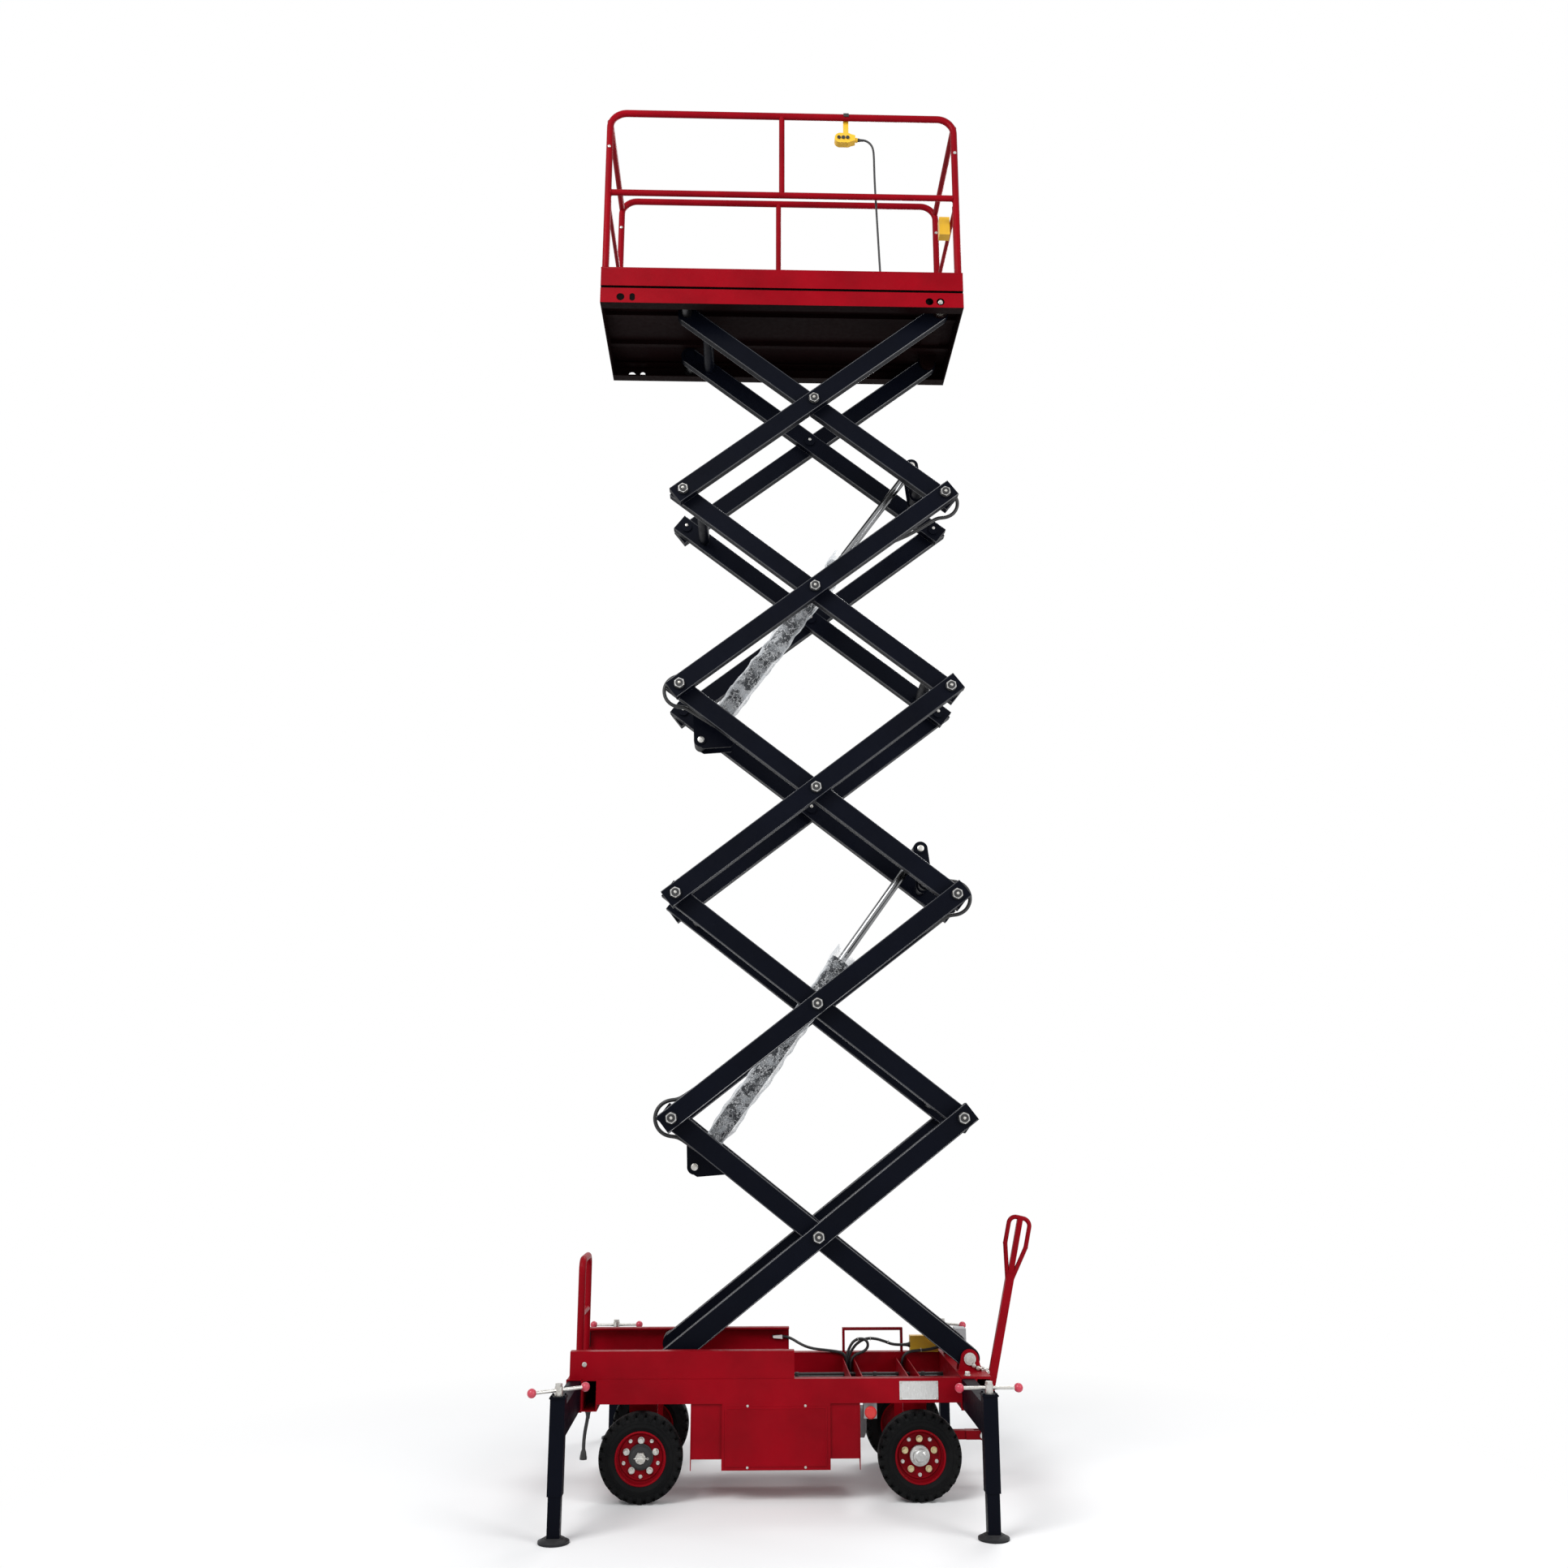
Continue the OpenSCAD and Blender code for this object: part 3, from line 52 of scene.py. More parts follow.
ARM_COS = math.cos(ARM_RISE)
ARM_SIN = math.sin(ARM_RISE)
ARM_RUN = ARM_LENGTH * ARM_COS
STAGE_RISE = ARM_LENGTH * ARM_SIN
RIGHT_PIVOT_X = 888.0
LEFT_PIVOT_X = RIGHT_PIVOT_X - ARM_RUN
PIVOT_Z = 585.0
TOP_Z = PIVOT_Z + STAGES * STAGE_RISE
DECK_TOP = TOP_Z + 65
TREAD_TOP = DECK_TOP + 2
RAIL_TOP = DECK_TOP + 1123
POST_X = 984
POST_Y = 391
SIDES = {"near": -1, "far": 1}
AXLES = {"rear": -641, "front": 629}
WHEEL_Y = 355
AXLE_Z = 190.5
LEGS = ((-949, -1), (857, -1), (-879, 1), (927, 1))
LEG_Y = 960
CABINET_LEFT = -417
CABINET_RIGHT = 357
CYLINDERS = {"lower": 1, "upper": 3}

# Directions
RIGHT = Vector((1, 0, 0))
AWAY = Vector((0, 1, 0))
NEAR = Vector((0, -1, 0))
UP = Vector((0, 0, 1))


def at(x, y, z):
    """A point of the drawing, in the metres of the shared frame, whose origin is at FRAME_X."""
    return Vector(((x - FRAME_X) / 1000, y / 1000, z / 1000))


def arm_spot(stage, rise, far, y, up=0):
    """A point on an arm, from its left end: rise is 1 on the outer arms and -1 on the inner frame."""
    z = PIVOT_Z + (stage - 1 if rise > 0 else stage) * STAGE_RISE
    return at(LEFT_PIVOT_X + far * ARM_COS - rise * up * ARM_SIN, y, z + rise * far * ARM_SIN + up * ARM_COS)


# Camera
PHOTO_PIXELS = 1932
PHOTO_FOCUS_PIXELS = 1704
SENSOR = 36
CAMERA_TILT = 13.73
CAMERA_TURN = -1.62


def set_camera():
    lens = bpy.data.cameras.new("photo_lens")
    lens.sensor_width = SENSOR
    lens.lens = SENSOR * PHOTO_FOCUS_PIXELS / PHOTO_PIXELS
    camera = bpy.data.objects.new("photo_camera", lens)
    bpy.context.scene.collection.objects.link(camera)
    camera.location = at(-184, -7201, 1669)
    camera.rotation_euler = (math.radians(90 + CAMERA_TILT), 0, math.radians(CAMERA_TURN))
    bpy.context.scene.camera = camera


set_camera()


# Modelling by hand
def deselect():
    if bpy.context.object and bpy.context.object.mode != "OBJECT":
        bpy.ops.object.mode_set(mode="OBJECT")
    bpy.ops.object.select_all(action="DESELECT")


def take(piece):
    deselect()
    piece.select_set(True)
    bpy.context.view_layer.objects.active = piece


def settle_place(piece, name):
    piece.name = name
    piece.data.name = name
    bpy.ops.object.transform_apply(location=True, rotation=True, scale=True)
    return piece


def block(name, low, high):
    """A cuboid between two opposite corners."""
    deselect()
    bpy.ops.mesh.primitive_cube_add(size=1, location=(low + high) / 2)
    piece = bpy.context.object
    piece.scale = [abs(side) for side in high - low]
    return settle_place(piece, name)


def drum(name, start, end, radius, sides, wide=None):
    """A round bar between two points, tapered to the radius wide at its end if that is given."""
    deselect()
    along = end - start
    turn = along.to_track_quat("Z", "Y").to_euler()
    if wide is None:
        bpy.ops.mesh.primitive_cylinder_add(vertices=sides, radius=radius, depth=along.length,
            location=(start + end) / 2, rotation=turn)
    else:
        bpy.ops.mesh.primitive_cone_add(vertices=sides, radius1=radius, radius2=wide, depth=along.length,
            location=(start + end) / 2, rotation=turn)
    return settle_place(bpy.context.object, name)


def ring(name, centre, axis, radius, thick, sides, thick_sides):
    deselect()
    turn = axis.to_track_quat("Z", "Y").to_euler()
    bpy.ops.mesh.primitive_torus_add(location=centre, rotation=turn, major_radius=radius, minor_radius=thick,
        major_segments=sides, minor_segments=thick_sides)
    return settle_place(bpy.context.object, name)


def edit_all():
    bpy.ops.object.mode_set(mode="EDIT")
    bpy.ops.mesh.select_all(action="SELECT")


def done():
    bpy.ops.object.mode_set(mode="OBJECT")


def pick(piece, wanted):
    """Edit mode with the faces selected whose centre and normal pass the test."""
    take(piece)
    bpy.ops.object.mode_set(mode="EDIT")
    bpy.ops.mesh.select_mode(type="FACE")
    bpy.ops.mesh.select_all(action="DESELECT")
    done()
    for face in piece.data.polygons:
        face.select = wanted(face.center, face.normal)
    bpy.ops.object.mode_set(mode="EDIT")


def facing(way):
    """The test of the faces that look one way."""
    return lambda centre, normal: normal.dot(way) > 0.9


def pull(shift):
    bpy.ops.mesh.extrude_region_move(TRANSFORM_OT_translate={"value": shift})


def resize(scale, centre):
    bpy.ops.transform.resize(value=scale, center_override=centre)


def soften(piece, width, segments=2, angle=30):
    """Rounds the sharp edges."""
    take(piece)
    bpy.ops.object.mode_set(mode="EDIT")
    bpy.ops.mesh.select_mode(type="EDGE")
    bpy.ops.mesh.select_all(action="DESELECT")
    bpy.ops.mesh.edges_select_sharp(sharpness=math.radians(angle))
    bpy.ops.mesh.bevel(offset=width, segments=segments, affect="EDGES")
    done()
    return piece


def stepped(piece, way, steps, width, segments=2):
    """Insets and moves the face that looks one way, step by step, and rounds the edges."""
    pick(piece, facing(way))
    for inset, shift in steps:
        bpy.ops.mesh.inset(thickness=inset)
        pull(shift)
    done()
    return soften(piece, width, segments)


def around(piece, centre, axis, count):
    """Repeats the piece round an axis, in one mesh."""
    take(piece)
    edit_all()
    bpy.ops.mesh.spin(steps=count - 1, dupli=True, angle=2 * math.pi * (count - 1) / count, center=centre,
        axis=axis)
    done()
    return piece


def mirrored(piece):
    """A copy on the other side of the centre plane, its faces turned outwards again."""
    take(piece)
    bpy.ops.object.duplicate(linked=False)
    twin = bpy.context.object
    twin.scale = (1, -1, 1)
    settle_place(twin, piece.name)
    edit_all()
    bpy.ops.mesh.normals_make_consistent(inside=False)
    done()
    return twin


def joined(name, parts):
    deselect()
    for part in parts:
        part.select_set(True)
    bpy.context.view_layer.objects.active = parts[0]
    if len(parts) > 1:
        bpy.ops.object.join()
    parts[0].name = name
    parts[0].data.name = name
    return parts[0]


def rumple(piece, label, size, strength, middle=0.5, where=""):
    """Pushes the surface in and out by a cloudy pattern, in a vertex group if that is given."""
    cloud = bpy.data.textures.get(label) or bpy.data.textures.new(label, "CLOUDS")
    cloud.noise_scale = size
    push = piece.modifiers.new(label, "DISPLACE")
    push.texture = cloud
    push.texture_coords = "LOCAL"
    push.vertex_group = where
    push.strength = strength
    push.mid_level = middle


def apply_modifiers(piece):
    take(piece)
    for modifier in list(piece.modifiers):
        bpy.ops.object.modifier_apply(modifier=modifier.name)
    return piece


def finish_surface(piece, material, smooth):
    take(piece)
    bpy.ops.object.shade_smooth_by_angle(angle=math.radians(smooth))
    piece.data.materials.clear()
    piece.data.materials.append(material)


def fit(piece, body, material, smooth=35):
    """Gives a finished piece its material, and the body that it moves with."""
    finish_surface(piece, material, smooth)
    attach(piece, body)
    return piece


def hex_bolt(name, seat, out, across, height):
    """A bolt head on its washer, standing on a face."""
    washer = drum(name, seat - out * 0.0004, seat + out * height * 0.25, across * 0.72, 24)
    soften(washer, height * 0.06)
    head = drum(name, seat + out * height * 0.2, seat + out * height, across * 0.577, 6)
    pick(head, facing(out))
    bpy.ops.mesh.inset(thickness=across * 0.06)
    pull(out * height * 0.1)
    resize((0.93, 0.93, 0.93), seat + out * height * 1.1)
    done()
    return joined(name, [head, washer])


def round_head(name, seat, out, radius, height):
    """A domed rivet or button head."""
    head = drum(name, seat - out * 0.0004, seat + out * height * 0.5, radius, 20)
    pick(head, facing(out))
    for rise, shrink in ((0.3, 0.82), (0.2, 0.6)):
        pull(out * height * rise)
        resize((shrink, shrink, shrink), seat + out * height * (0.5 + rise))
    done()
    return head


def weld_bead(name, centre, axis, radius, thick=0.0035):
    """A rippled weld round a tube."""
    bead = ring(name, centre, axis, radius, thick, 48, 6)
    rumple(bead, "weld_ripple", 0.006, thick * 0.7)
    return apply_modifiers(bead)


def tube_curve(name, points, diameter, resolution=4):
    """A round cord through a row of points, as one open spline."""
    curve = bpy.data.curves.new(name, "CURVE")
    curve.dimensions = "3D"
    curve.bevel_depth = diameter / 2
    curve.bevel_resolution = 3
    curve.use_fill_caps = True
    curve.resolution_u = resolution
    spline = curve.splines.new("BEZIER")
    spline.bezier_points.add(len(points) - 1)
    for knot, place in zip(spline.bezier_points, points):
        knot.co = place
        knot.handle_left_type = knot.handle_right_type = "AUTO"
    cord = bpy.data.objects.new(name, curve)
    bpy.context.scene.collection.objects.link(cord)
    return cord


# Shared shader groups
SURFACE = [("Color", "Color"), ("Roughness", "Float"), ("Height", "Float")]


def group(name, inputs, outputs):
    tree = bpy.data.node_groups.new(name, "ShaderNodeTree")
    for label, kind, value in inputs:
        socket = tree.interface.new_socket(label, in_out="INPUT", socket_type="NodeSocket" + kind)
        socket.default_value = value
    for label, kind in outputs:
        tree.interface.new_socket(label, in_out="OUTPUT", socket_type="NodeSocket" + kind)
    return tree, tree.nodes.new("NodeGroupInput").outputs, tree.nodes.new("NodeGroupOutput").inputs


def node(tree, kind, **values):
    made = tree.nodes.new("ShaderNode" + kind)
    for key, value in values.items():
        setattr(made, key, value)
    return made


def wire(tree, source, target):
    tree.links.new(source, target)


def feed(tree, value, target):
    """Wires a socket to another one, or sets it to a plain value."""
    if isinstance(value, bpy.types.NodeSocket):
        wire(tree, value, target)
    else:
        target.default_value = value


def math_node(tree, operation, first, second=0.0, clamp=False):
    made = node(tree, "Math", operation=operation, use_clamp=clamp)
    feed(tree, first, made.inputs[0])
    feed(tree, second, made.inputs[1])
    return made.outputs[0]


def times(tree, first, second, clamp=False):
    return math_node(tree, "MULTIPLY", first, second, clamp)


def plus(tree, first, second, clamp=False):
    return math_node(tree, "ADD", first, second, clamp)


def most(tree, first, second):
    return math_node(tree, "MAXIMUM", first, second)


def noise(tree, place, scale, detail=3.0, roughness=0.55):
    made = node(tree, "TexNoise")
    feed(tree, scale, made.inputs["Scale"])
    made.inputs["Detail"].default_value = detail
    made.inputs["Roughness"].default_value = roughness
    wire(tree, place, made.inputs["Vector"])
    return made.outputs["Fac"]


def between(tree, value, low, high, to_low=0.0, to_high=1.0):
    made = node(tree, "MapRange", clamp=True)
    wire(tree, value, made.inputs["Value"])
    for label, number in (("From Min", low), ("From Max", high), ("To Min", to_low), ("To Max", to_high)):
        made.inputs[label].default_value = number
    return made.outputs["Result"]


def mix_colour(tree, factor, first, second):
    made = node(tree, "Mix", data_type="RGBA")
    for index, value in ((0, factor), (6, first), (7, second)):
        feed(tree, value, made.inputs[index])
    return made.outputs[2]


def object_place(tree):
    return node(tree, "TexCoord").outputs["Object"]


def facing_up(tree):
    split = node(tree, "SeparateXYZ")
    wire(tree, node(tree, "NewGeometry").outputs["Normal"], split.inputs[0])
    return split.outputs["Z"]


def make_dust():
    """Dust that settles on what faces up, in patches."""
    tree, given, out = group("settled_dust",
        [("Color", "Color", (1, 1, 1, 1)), ("Dust Color", "Color", (1, 1, 1, 1)), ("Amount", "Float", 0.3)],
        [("Color", "Color"), ("Mask", "Float")])
    place = object_place(tree)
    patches = between(tree, noise(tree, place, 9.0, 6.0, 0.65), 0.35, 0.75)
    grains = between(tree, noise(tree, place, 240.0, 2.0), 0.3, 0.7, 0.6, 1.0)
    top = between(tree, facing_up(tree), 0.2, 0.95)
    lying = times(tree, times(tree, top, patches), grains)
    film = times(tree, patches, 0.18)
    mask = times(tree, plus(tree, lying, film, True), given["Amount"], True)
    wire(tree, mix_colour(tree, mask, given["Color"], given["Dust Color"]), out["Color"])
    wire(tree, mask, out["Mask"])
    return tree


def make_paint_film(dust):
    """Sprayed enamel: thick and thin places, orange peel, scuffs and dust."""
    tree, given, out = group("paint_film",
        [("Paint", "Color", (1, 0, 0, 1)), ("Scuff Color", "Color", (1, 1, 1, 1)),
        ("Dust Color", "Color", (0.4, 0.37, 0.33, 1)), ("Dust", "Float", 0.3), ("Scuffs", "Float", 0.3),
        ("Gloss Roughness", "Float", 0.3)], SURFACE)
    place = object_place(tree)
    cloud = between(tree, noise(tree, place, 2.6, 4.0), 0.3, 0.7)
    shade = mix_colour(tree, times(tree, cloud, 0.35), given["Paint"], (0, 0, 0, 1))
    stretch = node(tree, "Mapping")
    stretch.inputs["Scale"].default_value = (6.0, 14.0, 44.0)
    wire(tree, place, stretch.inputs["Vector"])
    scratch = between(tree, noise(tree, stretch.outputs["Vector"], 4.0, 8.0, 0.7), 0.655, 0.7)
    field = between(tree, noise(tree, place, 5.0, 3.0), 0.45, 0.65)
    scuff = times(tree, times(tree, scratch, field), given["Scuffs"], True)
    worn = mix_colour(tree, scuff, shade, given["Scuff Color"])
    dusty = node(tree, "Group", node_tree=dust)
    wire(tree, worn, dusty.inputs["Color"])
    wire(tree, given["Dust Color"], dusty.inputs["Dust Color"])
    wire(tree, given["Dust"], dusty.inputs["Amount"])
    wire(tree, dusty.outputs["Color"], out["Color"])
    uneven = between(tree, noise(tree, place, 38.0, 4.0), 0.3, 0.7, -0.06, 0.08)
    rough = plus(tree, given["Gloss Roughness"], uneven)
    rough = plus(tree, rough, times(tree, dusty.outputs["Mask"], 0.5))
    wire(tree, plus(tree, rough, times(tree, scuff, 0.2), True), out["Roughness"])
    peel = times(tree, noise(tree, place, 320.0, 2.0), 0.25)
    height = plus(tree, peel, times(tree, noise(tree, place, 24.0, 2.0), 0.6))
    wire(tree, math_node(tree, "SUBTRACT", height, times(tree, scuff, 0.3)), out["Height"])
    return tree


def make_worked_metal():
    """Drawn or turned metal: fine streaks and stains."""
    tree, given, out = group("worked_metal",
        [("Metal", "Color", (0.6, 0.6, 0.6, 1)), ("Stain", "Color", (0.2, 0.15, 0.1, 1)),
        ("Stains", "Float", 0.3), ("Polish", "Float", 0.3), ("Streaks", "Vector", (30, 30, 500))], SURFACE)
    place = object_place(tree)
    drawn = node(tree, "VectorMath", operation="MULTIPLY")
    wire(tree, place, drawn.inputs[0])
    wire(tree, given["Streaks"], drawn.inputs[1])
    streak = noise(tree, drawn.outputs["Vector"], 1.0, 4.0)
    spots = between(tree, noise(tree, place, 30.0, 6.0, 0.7), 0.5, 0.72)
    mask = times(tree, spots, given["Stains"], True)
    tone = mix_colour(tree, between(tree, streak, 0.3, 0.7, 0.0, 0.3), given["Metal"], (0.08, 0.08, 0.08, 1))
    wire(tree, mix_colour(tree, mask, tone, given["Stain"]), out["Color"])
    rough = plus(tree, given["Polish"], between(tree, streak, 0.3, 0.7, -0.08, 0.12))
    wire(tree, plus(tree, rough, times(tree, mask, 0.35), True), out["Roughness"])
    wire(tree, plus(tree, streak, times(tree, mask, 0.8)), out["Height"])
    return tree


def make_moulded():
    """Moulded rubber or plastic: fine grain, and pale patches from handling."""
    tree, given, out = group("moulded_skin",
        [("Body", "Color", (0.02, 0.02, 0.02, 1)), ("Bloom", "Color", (0.2, 0.2, 0.2, 1)),
        ("Bloom Amount", "Float", 0.3), ("Skin Roughness", "Float", 0.6), ("Grain", "Float", 500.0)], SURFACE)
    place = object_place(tree)
    grain = noise(tree, place, given["Grain"], 2.0, 0.5)
    handled = between(tree, noise(tree, place, 16.0, 5.0, 0.6), 0.4, 0.7)
    mask = times(tree, handled, given["Bloom Amount"], True)
    wire(tree, mix_colour(tree, mask, given["Body"], given["Bloom"]), out["Color"])
    rough = plus(tree, given["Skin Roughness"], between(tree, grain, 0.3, 0.7, -0.06, 0.06))
    wire(tree, plus(tree, rough, times(tree, mask, 0.2), True), out["Roughness"])
    wire(tree, grain, out["Height"])
    return tree


PAINT_FILM = make_paint_film(make_dust())
WORKED_METAL = make_worked_metal()
MOULDED = make_moulded()


# Materials
def fresh(name):
    material = bpy.data.materials.new(name)
    material.use_nodes = True
    tree = material.node_tree
    return material, tree, tree.nodes["Principled BSDF"]


def raise_surface(tree, shader, height, strength, distance):
    bump = node(tree, "Bump")
    bump.inputs["Strength"].default_value = strength
    bump.inputs["Distance"].default_value = distance
    wire(tree, height, bump.inputs["Height"])
    wire(tree, bump.outputs["Normal"], shader.inputs["Normal"])


def surfaced(name, source, values, strength, distance):
    """A material whose colour, roughness and height come from a shared group."""
    material, tree, shader = fresh(name)
    made = node(tree, "Group", node_tree=source)
    for label, value in values.items():
        made.inputs[label].default_value = value
    wire(tree, made.outputs["Color"], shader.inputs["Base Color"])
    wire(tree, made.outputs["Roughness"], shader.inputs["Roughness"])
    raise_surface(tree, shader, made.outputs["Height"], strength, distance)
    return material, shader.inputs


def enamel(name, paint, scuff, gloss, dust, scuffs, coat, shine=0.3):
    values = {"Paint": (*paint, 1), "Scuff Color": (*scuff, 1), "Dust": dust, "Scuffs": scuffs,
        "Gloss Roughness": gloss}
    material, sockets = surfaced(name, PAINT_FILM, values, 0.05, 0.002)
    sockets["Coat Weight"].default_value = coat
    sockets["Coat Roughness"].default_value = 0.12
    sockets["Specular IOR Level"].default_value = shine
    return material


def metal(name, colour, stain, stains, polish, streaks, strength=0.08):
    values = {"Metal": (*colour, 1), "Stain": (*stain, 1), "Stains": stains, "Polish": polish,
        "Streaks": streaks}
    material, sockets = surfaced(name, WORKED_METAL, values, strength, 0.001)
    sockets["Metallic"].default_value = 1.0
    return material


def moulded(name, body, bloom, amount, rough, grain, strength=0.1, shine=0.4):
    values = {"Body": (*body, 1), "Bloom": (*bloom, 1), "Bloom Amount": amount, "Skin Roughness": rough,
        "Grain": grain}
    material, sockets = surfaced(name, MOULDED, values, strength, 0.0006)
    sockets["Specular IOR Level"].default_value = shine
    return material


def worn_plate(name, paint):
    """Painted steel that is walked on."""
    values = {"Paint": (*paint, 1), "Scuff Color": (0.42, 0.42, 0.42, 1), "Dust": 0.35, "Scuffs": 0.5,
        "Gloss Roughness": 0.42}
    material, sockets = surfaced(name, PAINT_FILM, values, 0.1, 0.002)
    sockets["Metallic"].default_value = 0.4
    return material


def bubble_film():
    """Clear wrapping film with rows of bubbles, crumpled round a barrel, with painted highlights along its
    creases.
    """
    material, tree, shader = fresh("bubble_film")
    place = object_place(tree)
    cells = node(tree, "TexVoronoi", feature="F1")
    cells.inputs["Scale"].default_value = 95.0
    cells.inputs["Randomness"].default_value = 0.35
    wire(tree, place, cells.inputs["Vector"])
    dome = between(tree, cells.outputs["Distance"], 0.12, 0.42, 1.0, 0.0)
    crease = noise(tree, place, 30.0, 5.0, 0.62)
    ridge = math_node(tree, "ABSOLUTE", math_node(tree, "SUBTRACT", crease, 0.5))
    # Painted highlight: thin lines along the creases are near white and more opaque; the creases themselves
    # come from the bump
    crease_highlights = between(tree, ridge, 0.004, 0.03, 0.9, 0.0)
    patches = between(tree, noise(tree, place, 15.0, 4.0, 0.6), 0.44, 0.66, 0.06, 0.76)
    tone = mix_colour(tree, crease_highlights, (0.66, 0.69, 0.72, 1), (0.93, 0.94, 0.95, 1))
    wire(tree, tone, shader.inputs["Base Color"])
    wire(tree, between(tree, crease, 0.3, 0.7, 0.10, 0.34), shader.inputs["Roughness"])
    edge = node(tree, "LayerWeight").outputs["Facing"]
    rim = between(tree, edge, 0.25, 0.75, 0.06, 0.85)
    thin = between(tree, edge, 0.12, 0.6, 0.55, 0.95)
    cover = plus(tree, most(tree, crease_highlights, patches), times(tree, dome, 0.22))
    wire(tree, most(tree, times(tree, cover, thin, True), rim), shader.inputs["Alpha"])
    raise_surface(tree, shader, plus(tree, times(tree, dome, 0.6), crease), 0.45, 0.005)
    shader.inputs["IOR"].default_value = 1.49
    return material


RED = enamel("crimson_enamel", (0.252, 0.001, 0.0065), (0.34, 0.022, 0.03),
    gloss=0.38, dust=0.014, scuffs=0.14, coat=0.02, shine=0.045)
NAVY = enamel("navy_enamel", (0.0022, 0.003, 0.0068), (0.02, 0.023, 0.031),
    gloss=0.42, dust=0.007, scuffs=0.16, coat=0.0, shine=0.045)
# Painted highlight: a navy lighter than the arms' own, for the rods on their corners; its pale scuffs are
# edge wear
NAVY_EDGE_HIGHLIGHT = enamel("navy_edge_painted_highlight", (0.006, 0.0075, 0.014), (0.2, 0.21, 0.22),
    gloss=0.2, dust=0.0, scuffs=0.5, coat=0.4, shine=0.5)
DARK = enamel("dark_foot_paint", (0.017, 0.018, 0.021), (0.12, 0.12, 0.125),
    gloss=0.5, dust=0.07, scuffs=0.5, coat=0.0, shine=0.15)
# Painted shade: a near-black red for the underside of the deck and the inside of its frame, where shade falls
UNDERSIDE_SHADE = enamel("painted_underside_shade", (0.006, 0.0012, 0.0014), (0.02, 0.004, 0.004),
    gloss=0.6, dust=0.008, scuffs=0.2, coat=0.0, shine=0.05)
GREY = enamel("grey_motor_paint", (0.32, 0.33, 0.34), (0.55, 0.55, 0.55),
    gloss=0.4, dust=0.2, scuffs=0.4, coat=0.1)
# Painted shade: steel darkened where it sits in shade, under the deck and round the pivot nuts; its stains
# are real
SHADE_STEEL = metal("painted_shade_steel", (0.05, 0.05, 0.052), (0.03, 0.025, 0.02),
    stains=0.3, polish=0.4, streaks=(90, 400, 90))
ZINC = metal("zinc_plate", (0.62, 0.61, 0.58), (0.35, 0.30, 0.2),
    stains=0.35, polish=0.34, streaks=(120, 120, 120))
YELLOW_ZINC = metal("yellow_zinc", (0.66, 0.56, 0.32), (0.3, 0.22, 0.1),
    stains=0.4, polish=0.32, streaks=(120, 120, 120))
STEEL = metal("turned_steel", (0.55, 0.55, 0.54), (0.24, 0.19, 0.13),
    stains=0.35, polish=0.32, streaks=(60, 600, 60))
CHROME = metal("chromed_rod", (0.24, 0.244, 0.25), (0.3, 0.3, 0.3),
    stains=0.05, polish=0.16, streaks=(6, 6, 6), strength=0.0)
PLATE = metal("bare_plate", (0.72, 0.72, 0.71), (0.5, 0.49, 0.46),
    stains=0.25, polish=0.3, streaks=(500, 30, 30))
TYRE = moulded("tyre_rubber", (0.0035, 0.0037, 0.004), (0.012, 0.0118, 0.0115),
    amount=0.3, rough=0.62, grain=420.0, strength=0.2, shine=0.07)
RUBBER = moulded("cable_rubber", (0.012, 0.012, 0.013), (0.05, 0.05, 0.05),
    amount=0.3, rough=0.45, grain=600.0)
YELLOW = moulded("yellow_plastic", (0.72, 0.42, 0.02), (0.5, 0.34, 0.1),
    amount=0.25, rough=0.38, grain=700.0)
BUTTON_RED = moulded("red_plastic", (0.5, 0.012, 0.012), (0.5, 0.15, 0.12),
    amount=0.15, rough=0.3, grain=700.0)
BALL_RED = moulded("red_ball", (0.45, 0.03, 0.06), (0.5, 0.15, 0.16),
    amount=0.2, rough=0.28, grain=700.0)
BLACK = moulded("black_plastic", (0.015, 0.015, 0.016), (0.06, 0.06, 0.06),
    amount=0.2, rough=0.4, grain=700.0)
GREY_BOX = moulded("grey_plastic", (0.3, 0.31, 0.32), (0.42, 0.41, 0.4),
    amount=0.3, rough=0.48, grain=600.0)
WHITE_TIE = moulded("white_nylon", (0.7, 0.7, 0.68), (0.55, 0.52, 0.48),
    amount=0.3, rough=0.4, grain=600.0)
CHEQUER = worn_plate("chequer_plate", (0.13, 0.133, 0.137))
LOZENGE = worn_plate("worn_lozenge", (0.38, 0.38, 0.375))
FILM = bubble_film()


def fasten(name, parts, body, material=ZINC):
    """Bolt heads, rivets and other bright parts as one piece."""
    return fit(joined(name, parts), body, material)


# Solids
def paint(name, material, *others):
    """Each of the others is a material and the test of the faces that it takes."""
    mesh = NODES[name].data
    mesh.materials.clear()
    mesh.materials.append(material)
    for index, (other, wanted) in enumerate(others, 1):
        mesh.materials.append(other)
        for face in mesh.polygons:
            if wanted(face.center):
                face.material_index = index
    if not others:
        for face in mesh.polygons:
            face.material_index = 0


def paint_alike(material, *names):
    for name in names:
        paint(name, material)


PIN_REACH = 0.032
RIM_RADIUS = 0.11401
HUB_RADIUS = 0.0452
BALL_REACH = 0.105
EYE_REACH = 0.07


def pin_faces(z, inner, outer):
    """The test of the faces of the pins at the right pivots, between two distances from the centre plane."""
    heart = at(RIGHT_PIVOT_X, 0, z)

    def wanted(c):
        return inner < abs(c.y) < outer and math.hypot(c.x - heart.x, c.z - heart.z) < PIN_REACH

    return wanted


